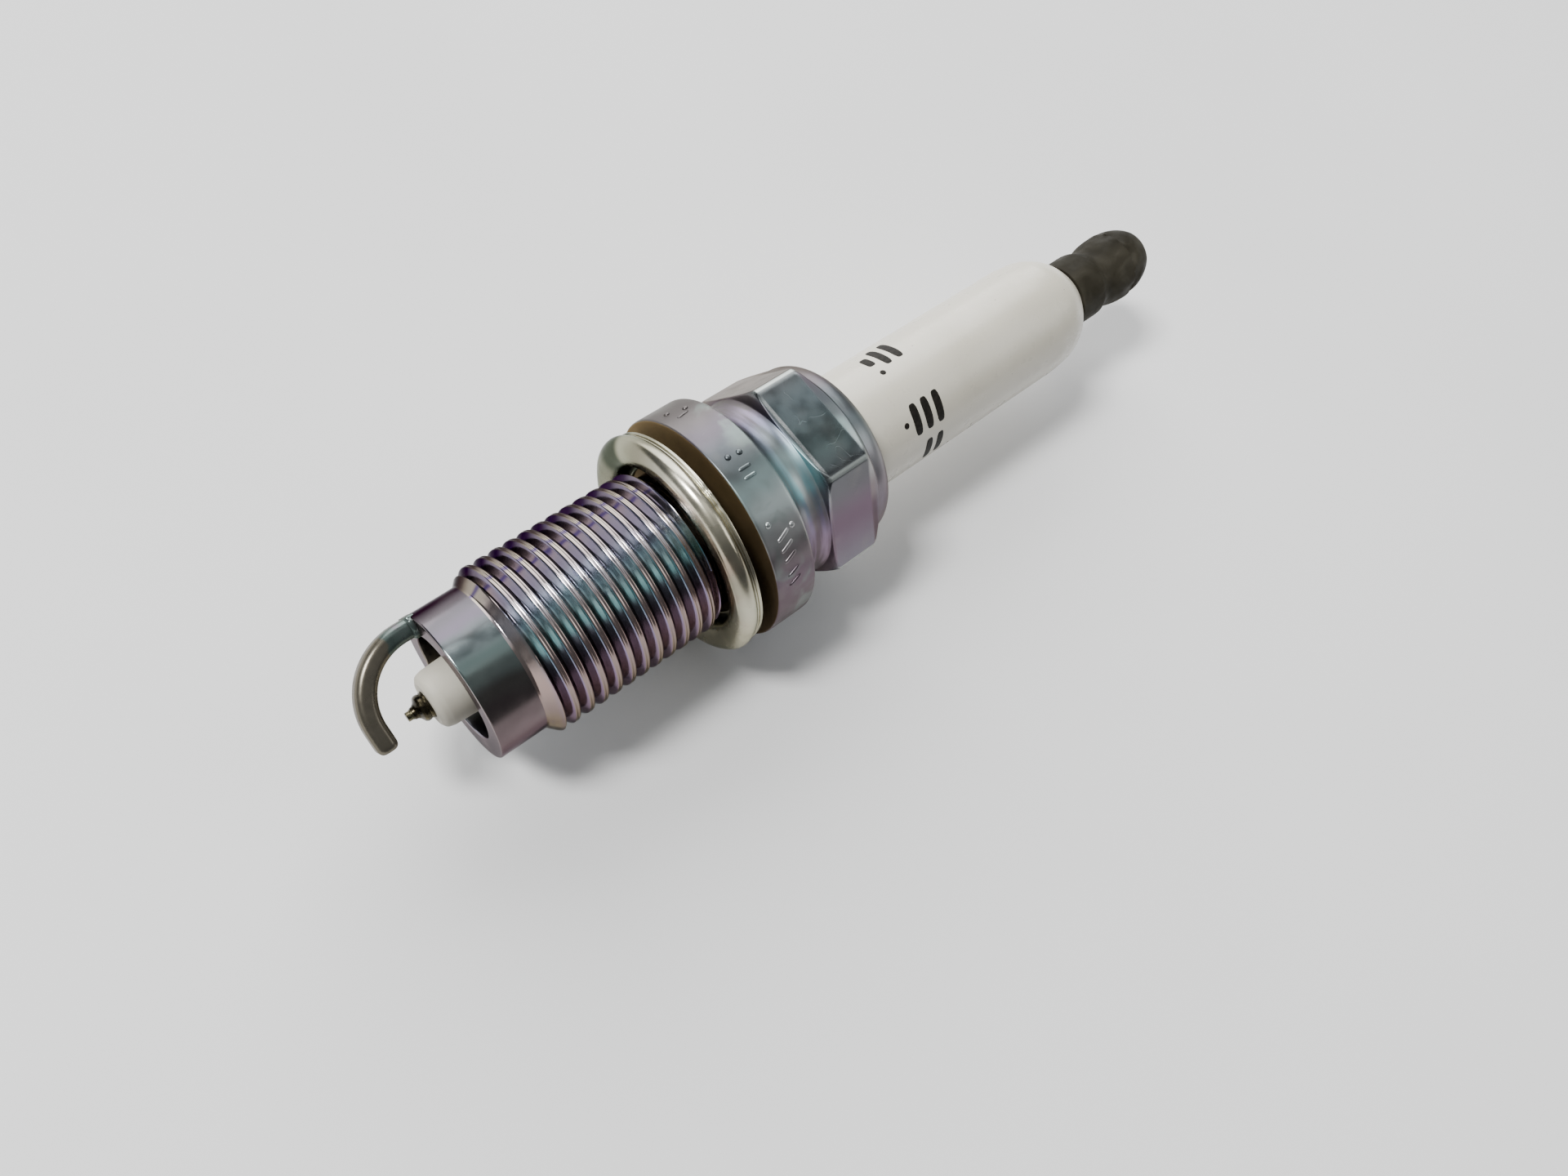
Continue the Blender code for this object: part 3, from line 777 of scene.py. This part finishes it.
def make_shell_body():
    corners = [
        (NOSE_FACE_X, NOSE_R - 0.02, 0.16),
        (THREAD_FRONT_X - 0.10, NOSE_R, 0.05),
        (THREAD_FRONT_X - 0.40, RELIEF_R, 0.05),
        (0.0, RELIEF_R, 0.45),
        (0.0, FLANGE_R, 0.22),
        (FLANGE_REAR_X, FLANGE_R, 0.38),
        (-4.02, 8.90, 0.2),
        (-4.50, 8.28, WIDE_FILLET),
        (-5.20, 7.86, WIDE_FILLET),
        (-6.00, 7.70, WIDE_FILLET),
        (-6.65, 7.76, WIDE_FILLET),
        (-7.10, 7.94, 0.10),
        (-7.22, 8.40, WIDE_FILLET),
        (-7.38, 8.80, WIDE_FILLET),
        (-7.70, HEX_CORNER_R + 0.02, 0.25),
        (-11.38, HEX_CORNER_R + 0.02, 0.4),
        (-11.74, 8.95, WIDE_FILLET),
        (-12.10, 8.42, WIDE_FILLET),
        (-12.44, 7.99, 0.12),
        (-13.00, 7.95, WIDE_FILLET),
        (-13.50, 7.80, WIDE_FILLET),
        (-13.95, 7.46, WIDE_FILLET),
        (-14.32, 6.95, WIDE_FILLET),
        (-14.56, 6.40, WIDE_FILLET),
        (-14.66, 5.85, 0.2),
        (-14.60, 5.52, 0.15),
        (-13.95, 5.46, 0.0),
        (-13.60, 5.92, 0.0),
        (-13.12, 6.30, 0.0),
        (-0.10, 6.30, 0.0),
        (0.90, 4.75, 0.0),
        (7.80, 4.75, 0.0),
        (8.50, 3.70, 0.0),
        (11.00, 3.70, 0.0),
        (11.65, NOSE_BORE_R, 0.2),
        (NOSE_FACE_X, NOSE_BORE_R, 0.14),
    ]
    body = revolved("shell_body_plated", corners, 288, shell_step, True, hexagon)
    body.data.materials.append(shell_plating())
    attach(body, "plug")
    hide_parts("metal_shell")
    return body


def shell_thread_radius(x, theta):
    """Rolled 60 degree thread with rounded roots and a faint seam along its crest."""
    off = distance_from_crest(x, theta, CREST_PHASE_X, THREAD_PITCH)
    flank = THREAD_CREST_R + 0.38 - np.abs(off) * math.sqrt(3.0)
    crest = THREAD_CREST_R - 0.05 * np.exp(-((off / 0.060) ** 2))
    ridge = soft_min(flank, crest, 0.16)
    r = soft_max(ridge, THREAD_ROOT_R, 0.16)
    front = NOSE_R + (THREAD_FRONT_X - x) * 1.05
    rear = RELIEF_R + (x - THREAD_REAR_X) * 1.15
    r = soft_min(r, front, 0.08)
    r = soft_min(r, rear, 0.08)
    return soft_max(r, np.where(x > THREAD_MIDDLE_X, NOSE_R, RELIEF_R), 0.05)


def make_shell_thread():
    x_range = (THREAD_REAR_X - 0.45, THREAD_FRONT_X + 0.20)
    sleeve = threaded_sleeve(
        "shell_thread_plated", x_range, 5.60, THREAD_PITCH, 216, 22, shell_thread_radius
    )
    sleeve.data.materials.append(thread_plating())
    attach(sleeve, "plug")


def make_flange_marks(material):
    """Generic raised dashes and pips where the real shell carries stamped marks."""
    marks = []
    pips = ((-1.15, -46.0), (-2.45, -42.0), (-1.30, -3.5), (-2.30, -3.0), (-0.95, 30.5), (-2.75, 36.0))
    for index, (x, deg) in enumerate(pips):
        marks.append(pad_on_cylinder(f"pip_{index}", x, deg, FLANGE_R, (0.55, 0.55), 0.0, 0.14, 2.0))
    dashes = (
        (-1.75, -38.0, 1.30, 12.0),
        (-1.85, 4.0, 1.20, 0.0),
        (-1.80, 8.5, 1.20, 0.0),
        (-1.75, 38.0, 1.45, 24.0),
        (-1.75, 43.5, 1.45, 24.0),
        (-1.75, 49.0, 1.45, 24.0),
        (-1.75, 57.0, 1.45, 24.0),
        (-1.75, 62.5, 1.45, 24.0),
    )
    for index, (x, deg, length, tilt) in enumerate(dashes):
        marks.append(pad_on_cylinder(f"dash_{index}", x, deg, FLANGE_R, (length, 0.34), tilt, 0.10))
    item = joined("flange_marks", marks)
    item.data.materials.append(material)
    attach(item, "plug")


def gasket_dents(x, r, theta):
    """Crimp dents beside the thin rear ridge and a slight waviness of the roll."""
    push = np.zeros(np.broadcast(x, theta).shape)
    ridge = np.clip((GASKET_REAR_X + 0.85 - x) / 0.3, 0.0, 1.0) * (r > 9.0)
    for degrees in (3.0, 12.0, 138.0, 150.0, -98.0, -110.0):
        near = np.exp(-(((theta - math.radians(degrees)) / math.radians(1.6)) ** 2))
        push = push + near * 0.05
    wave = 0.02 * np.sin(5.0 * theta + 0.7) + 0.012 * np.sin(11.0 * theta)
    return r - ridge * push + np.where(r > 8.8, wave - 0.03, 0.0)


def oval(centre, axial, radial, start_deg, end_deg, count):
    """Corners on an ellipse in the section plane. 0 degrees is its front, 90 its outer side."""
    corners = []
    for degrees in np.linspace(start_deg, end_deg, count):
        a = math.radians(degrees)
        corners.append((centre[0] + axial * math.cos(a), centre[1] + radial * math.sin(a), 0.0))
    return corners


def make_gasket():
    rear = GASKET_REAR_X
    sheet = GASKET_SHEET
    half_height, half_width = GASKET_ROLL_HALF
    ridge_low, ridge_high = GASKET_RIDGE_R
    middle = (GASKET_FRONT_X - half_height, GASKET_R - half_width)
    corners = oval(middle, half_height, half_width, -85.0, 132.0, 33)
    corners += [
        (rear + sheet - 0.06, ridge_low, 0.06),
        (rear + sheet - 0.12, ridge_high, 0.05),
        (rear + 0.04, ridge_high, 0.10),
        (rear, ridge_low, 0.10),
        (rear, GASKET_HOLE_R, 0.12),
        (rear + sheet, GASKET_HOLE_R, 0.12),
        (rear + sheet, 8.10, 0.0),
    ]
    corners += oval(middle, half_height - sheet, half_width - sheet, 130.0, -85.0, 17)
    ring = revolved("gasket_folded_ring", corners, 360, 0.12, True, gasket_dents)
    ring.data.materials.append(gasket_metal())
    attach(ring, "gasket")
    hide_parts("gasket")


def strap_axes():
    """Directions across the strap and outward from the axis at its foot."""
    turn = math.radians(STRAP_TURN_DEG)
    across = np.array((0.0, math.cos(turn), -math.sin(turn)))
    outward = np.array((0.0, math.sin(turn), math.cos(turn)))
    return across, outward


def capped_tube_faces(ring_count, ring_size):
    faces = grid_faces(ring_count, ring_size, False, True)
    faces.append(tuple(range(ring_size)))
    faces.append(tuple(range((ring_count - 1) * ring_size, ring_count * ring_size)))
    return faces


def strap_path():
    """Middle line of the strap as (station, radius, direction) from the weld to the tip."""
    bend_x = STRAP_INNER_X + STRAP_THICKNESS - STRAP_BEND_OUTER_R
    bend_r = STRAP_LEG_OUTER_R - STRAP_BEND_OUTER_R
    middle = STRAP_BEND_OUTER_R - 0.5 * STRAP_THICKNESS
    line = [(NOSE_FACE_X - 0.25, STRAP_LEG_OUTER_R - 0.5 * STRAP_THICKNESS, 0.0)]
    for degrees in np.linspace(0.0, 90.0, 37):
        a = math.radians(degrees)
        line.append((bend_x + middle * math.sin(a), bend_r + middle * math.cos(a), a))
    for r in np.linspace(bend_r - 0.05, STRAP_END_R + STRAP_TIP_ROUND, 6)[1:]:
        line.append((bend_x + middle, r, 0.5 * math.pi))
    return line


def strap_ring(width, thickness, corner):
    """Rounded rectangle as (across, outward) offsets from the middle line."""
    ring = []
    count = STRAP_RING_POINTS // 4
    for cx, cy, start in ((1, 1, 0), (-1, 1, 90), (-1, -1, 180), (1, -1, 270)):
        for degrees in np.linspace(start, start + 90, count):
            a = math.radians(degrees)
            across = cx * (0.5 * width - corner) + corner * math.cos(a)
            outward = cy * (0.5 * thickness - corner) + corner * math.sin(a)
            ring.append((across, outward))
    return ring


def make_strap():
    line = strap_path()
    last = line[-1]
    rings = [(place, 1.0, 0.0) for place in line]
    for degrees in np.linspace(15.0, 90.0, 8):
        a = math.radians(degrees)
        rings.append((last, 1.0 - (1.0 - math.cos(a)) * 0.48, STRAP_TIP_ROUND * math.sin(a)))
    side, up = strap_axes()
    forward = np.array((1.0, 0.0, 0.0))
    points = []
    for (x, r, a), shrink, advance in rings:
        out = math.sin(a) * forward + math.cos(a) * up
        along = math.cos(a) * forward - math.sin(a) * up
        centre = x * forward + r * up + advance * along
        for across, outward in strap_ring(STRAP_WIDTH, STRAP_THICKNESS, STRAP_CORNER_R):
            inset_a = across * (1.0 - (1.0 - shrink) * 0.55)
            inset_o = outward * shrink
            points.append(centre + side * inset_a + out * inset_o)
    faces = capped_tube_faces(len(rings), STRAP_RING_POINTS)
    strap = mesh_object("ground_strap_bar", points, faces, 50.0)
    strap.data.materials.append(strap_metal())
    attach(strap, "plug")
    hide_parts("ground_electrode")
    return strap


def make_weld(material):
    """Upset metal round the strap's foot."""
    side, up = strap_axes()
    middle_r = STRAP_LEG_OUTER_R - 0.5 * STRAP_THICKNESS
    foot = np.array((NOSE_FACE_X, 0.0, 0.0))
    forward = np.array((1.0, 0.0, 0.0))
    points = []
    layers = ((-0.30, 0.10), (0.02, 0.20), (0.16, 0.24), (0.30, 0.16), (0.40, 0.02), (0.46, -0.15))
    for rise, spread in layers:
        for index, (across, outward) in enumerate(strap_ring(STRAP_WIDTH, STRAP_THICKNESS, 0.5)):
            length = math.hypot(across, outward)
            bump = 0.06 * math.sin(index * 1.3) + 0.04 * math.sin(index * 2.9 + 1.0)
            grow = min(spread + bump * (spread > 0.0), 0.24)
            scale = (length + grow) / length
            over = min(middle_r + outward * scale, NOSE_R - 0.02) - middle_r
            points.append(foot + rise * forward + side * across * scale + up * (middle_r + over))
    faces = capped_tube_faces(len(layers), STRAP_RING_POINTS)
    bead = mesh_object("strap_weld_bead", points, faces, 70.0)
    bead.data.materials.append(material)
    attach(bead, "plug")


def make_insulator():
    corners = [
        (NOSE_TIP_X, 1.10, 0.0),
        (NOSE_TIP_X, 1.70, 0.3),
        (NOSE_TIP_X - 0.26, 2.14, 0.5),
        (NOSE_TIP_X - 0.80, 2.28, 0.8),
        (16.00, 2.62, 1.0),
        (11.00, 2.95, 0.0),
        (8.60, 3.40, 0.0),
        (7.95, 3.68, 0.0),
        (7.34, 4.60, 0.0),
        (0.48, 4.60, 0.0),
        (-0.50, 6.15, 0.0),
        (-7.60, 6.15, 0.0),
        (-8.80, INSULATOR_R, 0.0),
        (-38.60, INSULATOR_R, WIDE_FILLET),
        (-41.00, 5.16, WIDE_FILLET),
        (-42.60, 4.40, WIDE_FILLET),
        (-43.60, 3.50, WIDE_FILLET),
        (INSULATOR_END_X, 3.05, 0.2),
        (INSULATOR_END_X, 2.42, 0.0),
        (-42.75, 2.42, 0.0),
        (-42.75, 1.95, 0.0),
        (8.60, 1.95, 0.0),
        (9.20, 1.12, 0.0),
        (NOSE_TIP_X - 0.02, 1.08, 0.0),
    ]
    body = revolved("insulator_glazed", corners, 160, 0.5)
    body.data.materials.append(glaze())
    body.data.materials.append(bare_alumina())
    for face in body.data.polygons:
        face.material_index = int(face.center.x > GLAZE_END_X * MM)
    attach(body, "plug")
    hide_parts("insulator")


def make_printed_marks():
    """Generic printed bars and dots on the insulator."""
    bars = (
        (-22.30, -34.0, 3.30, 0.92),
        (-21.00, -34.0, 3.30, 0.92),
        (-19.70, -34.0, 1.70, 0.92),
        (-22.50, 39.0, 3.30, 0.94),
        (-21.20, 39.0, 3.30, 0.94),
        (-19.90, 39.0, 3.30, 0.94),
        (-22.30, 78.0, 2.90, 0.92),
        (-21.00, 78.0, 2.90, 0.92),
        (-22.30, 150.0, 3.30, 0.92),
        (-21.00, 150.0, 3.30, 0.92),
        (-22.30, -120.0, 3.30, 0.92),
        (-19.70, -120.0, 1.70, 0.92),
    )
    marks = []
    around = 90.0
    for index, (x, deg, length, width) in enumerate(bars):
        marks.append(pad_on_cylinder(f"bar_{index}", x, deg, INSULATOR_R, (length, width), around, 0.022))
    for index, (x, deg) in enumerate(((-18.7, 39.0), (-19.7, -14.0), (-21.0, -120.0))):
        marks.append(pad_on_cylinder(f"dot_{index}", x, deg, INSULATOR_R, (0.62, 0.62), 0.0, 0.018, 2.0))
    item = joined("printed_marks", marks)
    item.data.materials.append(printed_ink())
    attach(item, "plug")


def make_centre_electrode():
    corners = [
        (25.66, 0.0, 0.0),
        (25.66, 0.46, 0.06),
        (25.46, 0.50, 0.05),
        (25.30, 0.62, 0.06),
        (25.12, 0.95, 0.10),
        (24.96, 1.04, 0.06),
        (24.72, 1.04, 0.05),
        (24.66, 0.98, 0.03),
        (24.58, 1.04, 0.03),
        (8.95, 1.05, 0.0),
        (8.45, 1.78, 0.0),
        (7.20, 1.78, 0.0),
        (7.20, 0.60, 0.0),
        (24.40, 0.60, 0.0),
        (24.40, 0.0, 0.0),
    ]
    rod = revolved("centre_electrode_rod", corners, 96, 0.25, False)
    rod.data.materials.append(dark_electrode())
    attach(rod, "plug")
    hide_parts("center_electrode")
    wire = revolved(
        "fine_wire_tip",
        [
            (26.10, 0.0, 0.0),
            (26.10, 0.36, 0.05),
            (25.78, 0.36, 0.03),
            (25.74, 0.40, 0.03),
            (25.62, 0.42, 0.03),
            (25.60, 0.0, 0.0),
        ],
        64,
        0.08,
        False,
    )
    wire.data.materials.append(fine_wire())
    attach(wire, "plug")
    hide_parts("iridium_tip")


def nut_dents(x, r, theta):
    """Soft wrench-like flats pressed into the head and the collar."""
    flats = 9
    step = 2.0 * math.pi / flats
    shift = np.where(x > NUT_COLLAR_END_X, 0.35, np.where(x > NUT_HEAD_STEP_X, 0.0, 0.5 * step))
    off = (theta + shift) - np.round((theta + shift) / step) * step
    limit = np.where(x > NUT_COLLAR_END_X, 3.20, np.where(x > NUT_HEAD_STEP_X, 3.22, 3.17))
    return np.where(r > 2.9, soft_min(r, limit / np.cos(off), 0.06), r)


def make_terminal_nut():
    corners = [
        (NUT_BASE_X, 3.22, 0.10),
        (-47.25, 3.24, WIDE_FILLET),
        (-47.75, 3.04, WIDE_FILLET),
        (-48.30, 2.86, WIDE_FILLET),
        (-48.85, 2.86, WIDE_FILLET),
        (-49.50, 3.08, WIDE_FILLET),
        (-50.50, 3.30, WIDE_FILLET),
        (-51.70, 3.36, WIDE_FILLET),
        (-52.80, 3.22, WIDE_FILLET),
        (-53.70, 2.98, WIDE_FILLET),
        (-54.45, 2.66, WIDE_FILLET),
        (NUT_END_X, 2.36, 0.25),
        (NUT_END_X, NUT_BORE_R + 0.12, 0.0),
        (NUT_END_X + 0.14, NUT_BORE_R, 0.0),
        (NUT_BASE_X - 0.14, NUT_BORE_R, 0.0),
        (NUT_BASE_X, NUT_BORE_R + 0.14, 0.0),
    ]
    nut = revolved("terminal_nut_dark", corners, 144, 0.15, True, nut_dents)
    nut.data.materials.append(dark_nut())
    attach(nut, "terminal_nut")
    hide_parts("terminal_nut")


def stud_thread_radius(x, theta):
    off = distance_from_crest(x, theta, STUD_CREST_X, STUD_PITCH)
    ridge = soft_min(STUD_THREAD_R + 0.10 - np.abs(off) * math.sqrt(3.0), STUD_THREAD_R, 0.05)
    r = soft_max(ridge, STUD_THREAD_R - 0.40, 0.05)
    front = STUD_THREAD_R - 0.38 + (STUD_RUNOUT_X - x) * 1.0
    rear = STUD_THREAD_R - 0.38 + (x - STUD_END_X + 0.05) * 1.2
    return soft_max(soft_min(soft_min(r, front, 0.05), rear, 0.05), STUD_THREAD_R - 0.42, 0.03)


def make_stud():
    steel = plain_metal("stud_steel_turned", (0.42, 0.41, 0.38), (0.60, 0.59, 0.56), 0.24, 0.40)
    corners = [
        (-7.50, 0.0, 0.0),
        (-7.50, 1.20, 0.05),
        (-7.70, 1.40, 0.0),
        (-11.15, 1.40, 0.0),
        (-11.35, 1.82, 0.0),
        (-42.80, 1.82, 0.0),
        (-42.80, 2.34, 0.05),
        (-44.00, 2.34, 0.08),
        (-44.00, STUD_CORE_R, 0.05),
        (STUD_END_X + 0.02, STUD_CORE_R, 0.0),
        (STUD_END_X, 0.0, 0.0),
    ]
    core = revolved("stud_core", corners, 96, 0.5, False)
    core.data.materials.append(steel)
    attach(core, "plug")
    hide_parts("terminal_stud")
    sleeve = threaded_sleeve(
        "stud_thread", (STUD_END_X, STUD_THREAD_FRONT_X), 0.9, STUD_PITCH, 96, 14, stud_thread_radius
    )
    sleeve.data.materials.append(steel)
    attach(sleeve, "plug")


def dress_hidden_nodes():
    """Finishes for the pieces sealed inside the plug, which stay as the frame has them."""
    glass = ((0.08, 0.07, 0.06), (0.20, 0.17, 0.15), 0.3, 0.5, 2.0, 0.2)
    carbon = ((0.05, 0.045, 0.04), (0.12, 0.11, 0.10), 0.6, 0.8, 2.0, 0.0)
    packing = ((0.42, 0.42, 0.42), (0.58, 0.58, 0.58), 0.35, 0.5)
    powder = ((0.70, 0.70, 0.66), (0.86, 0.86, 0.83), 0.85, 0.95, 2.0, 0.0)
    looks = {
        "copper_core": plain_metal("core_copper", (0.70, 0.32, 0.18), (0.85, 0.46, 0.30), 0.28, 0.42),
        "lower_glass_seal": plain_metal("seal_glass_lower", *glass),
        "upper_glass_seal": plain_metal("seal_glass_upper", *glass),
        "resistor": plain_metal("resistor_ceramic", *carbon),
        "seat_packing": plain_metal("packing_washer", *packing),
        "lower_packing_ring": plain_metal("packing_wire_lower", *packing),
        "upper_packing_ring": plain_metal("packing_wire_upper", *packing),
        "talc_filler": plain_metal("talc_powder", *powder),
    }
    for node, look in looks.items():
        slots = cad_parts[node].data.materials
        slots.clear()
        slots.append(look)


# ---------------------------------------------------------------- stage


LAMP_TARGET = (-0.010, 0.0, 0.0)
FLOOR_GAP = 0.05
CAMERA_PLACE = (0.034985, 0.023080, 0.080697)
CAMERA_TURN_DEG = (23.438, -13.244, 139.942)
CAMERA_LENS = 26.224


def make_floor():
    floor_z = -FLANGE_R - FLOOR_GAP
    finish = Finish("studio_floor", 0.85, 0.0, specular_ior_level=0.2)
    tone = finish.noise(finish.position, 0.02 / MM, 3.0)
    finish.colour(finish.ramp(tone, ((0.3, (0.88, 0.88, 0.875)), (0.7, (0.91, 0.91, 0.905)))))
    half = 1500.0
    side = 24
    spread = np.linspace(-half, half, side)
    points = [(x, y, floor_z) for x in spread for y in spread]
    floor = mesh_object("studio_floor", points, grid_faces(side, side, False, False))
    if floor.data.polygons[0].normal.z < 0:
        floor.data.flip_normals()
    floor.data.materials.append(finish.material)


def aimed(direction, distance):
    """World matrix for a lamp out along a direction, facing the plug."""
    toward = Vector(direction).normalized()
    spot = Vector(LAMP_TARGET) + toward * distance
    return Matrix.Translation(spot) @ toward.to_track_quat("Z", "Y").to_matrix().to_4x4()


def add_area(name, direction, distance, size, watts):
    lamp = bpy.data.lights.new(name, "AREA")
    lamp.shape = "RECTANGLE"
    lamp.size, lamp.size_y = size
    lamp.energy = watts
    item = bpy.data.objects.new(name, lamp)
    bpy.context.scene.collection.objects.link(item)
    item.matrix_world = aimed(direction, distance)


def make_lights():
    add_area("key_softbox", (-0.42, -0.79, 0.48), distance=1.2, size=(1.35, 1.20), watts=27.0)
    add_area("window_light", (0.45, -0.30, 0.84), distance=1.2, size=(0.20, 0.34), watts=16.0)
    add_area("top_fill", (-0.20, 0.05, 0.97), distance=1.3, size=(0.50, 1.00), watts=0.8)
    add_area("rear_fill", (-0.70, 0.42, 0.57), distance=1.2, size=(0.50, 0.50), watts=1.4)
    world = bpy.data.worlds.new("studio")
    bpy.context.scene.world = world
    world.use_nodes = True
    nodes = world.node_tree.nodes
    background = nodes["Background"]
    backdrop = nodes.new("ShaderNodeBackground")
    backdrop.inputs["Color"].default_value = (0.90, 0.91, 0.92, 1.0)
    backdrop.inputs["Strength"].default_value = 0.8
    background.inputs["Color"].default_value = (0.80, 0.84, 0.88, 1.0)
    background.inputs["Strength"].default_value = 0.19
    path = nodes.new("ShaderNodeLightPath")
    mixer = nodes.new("ShaderNodeMixShader")
    links = world.node_tree.links
    links.new(path.outputs["Is Camera Ray"], mixer.inputs[0])
    links.new(background.outputs[0], mixer.inputs[1])
    links.new(backdrop.outputs[0], mixer.inputs[2])
    links.new(mixer.outputs[0], nodes["World Output"].inputs["Surface"])


def make_camera():
    """Camera above the firing end, looking down on the plug with the image rolled."""
    camera = bpy.data.objects.new("photo_camera", bpy.data.cameras.new("photo_camera"))
    bpy.context.scene.collection.objects.link(camera)
    camera.data.sensor_width = 36.0
    camera.data.lens = CAMERA_LENS
    camera.data.clip_start = 0.001
    camera.rotation_euler = [math.radians(degrees) for degrees in CAMERA_TURN_DEG]
    camera.location = CAMERA_PLACE
    bpy.context.scene.camera = camera


def main():
    body = make_shell_body()
    make_shell_thread()
    make_flange_marks(body.data.materials[0])
    strap = make_strap()
    make_weld(strap.data.materials[0])
    make_insulator()
    make_printed_marks()
    make_centre_electrode()
    make_gasket()
    make_terminal_nut()
    make_stud()
    dress_hidden_nodes()
    make_floor()
    make_lights()
    make_camera()
    bpy.context.view_layer.update()


main()
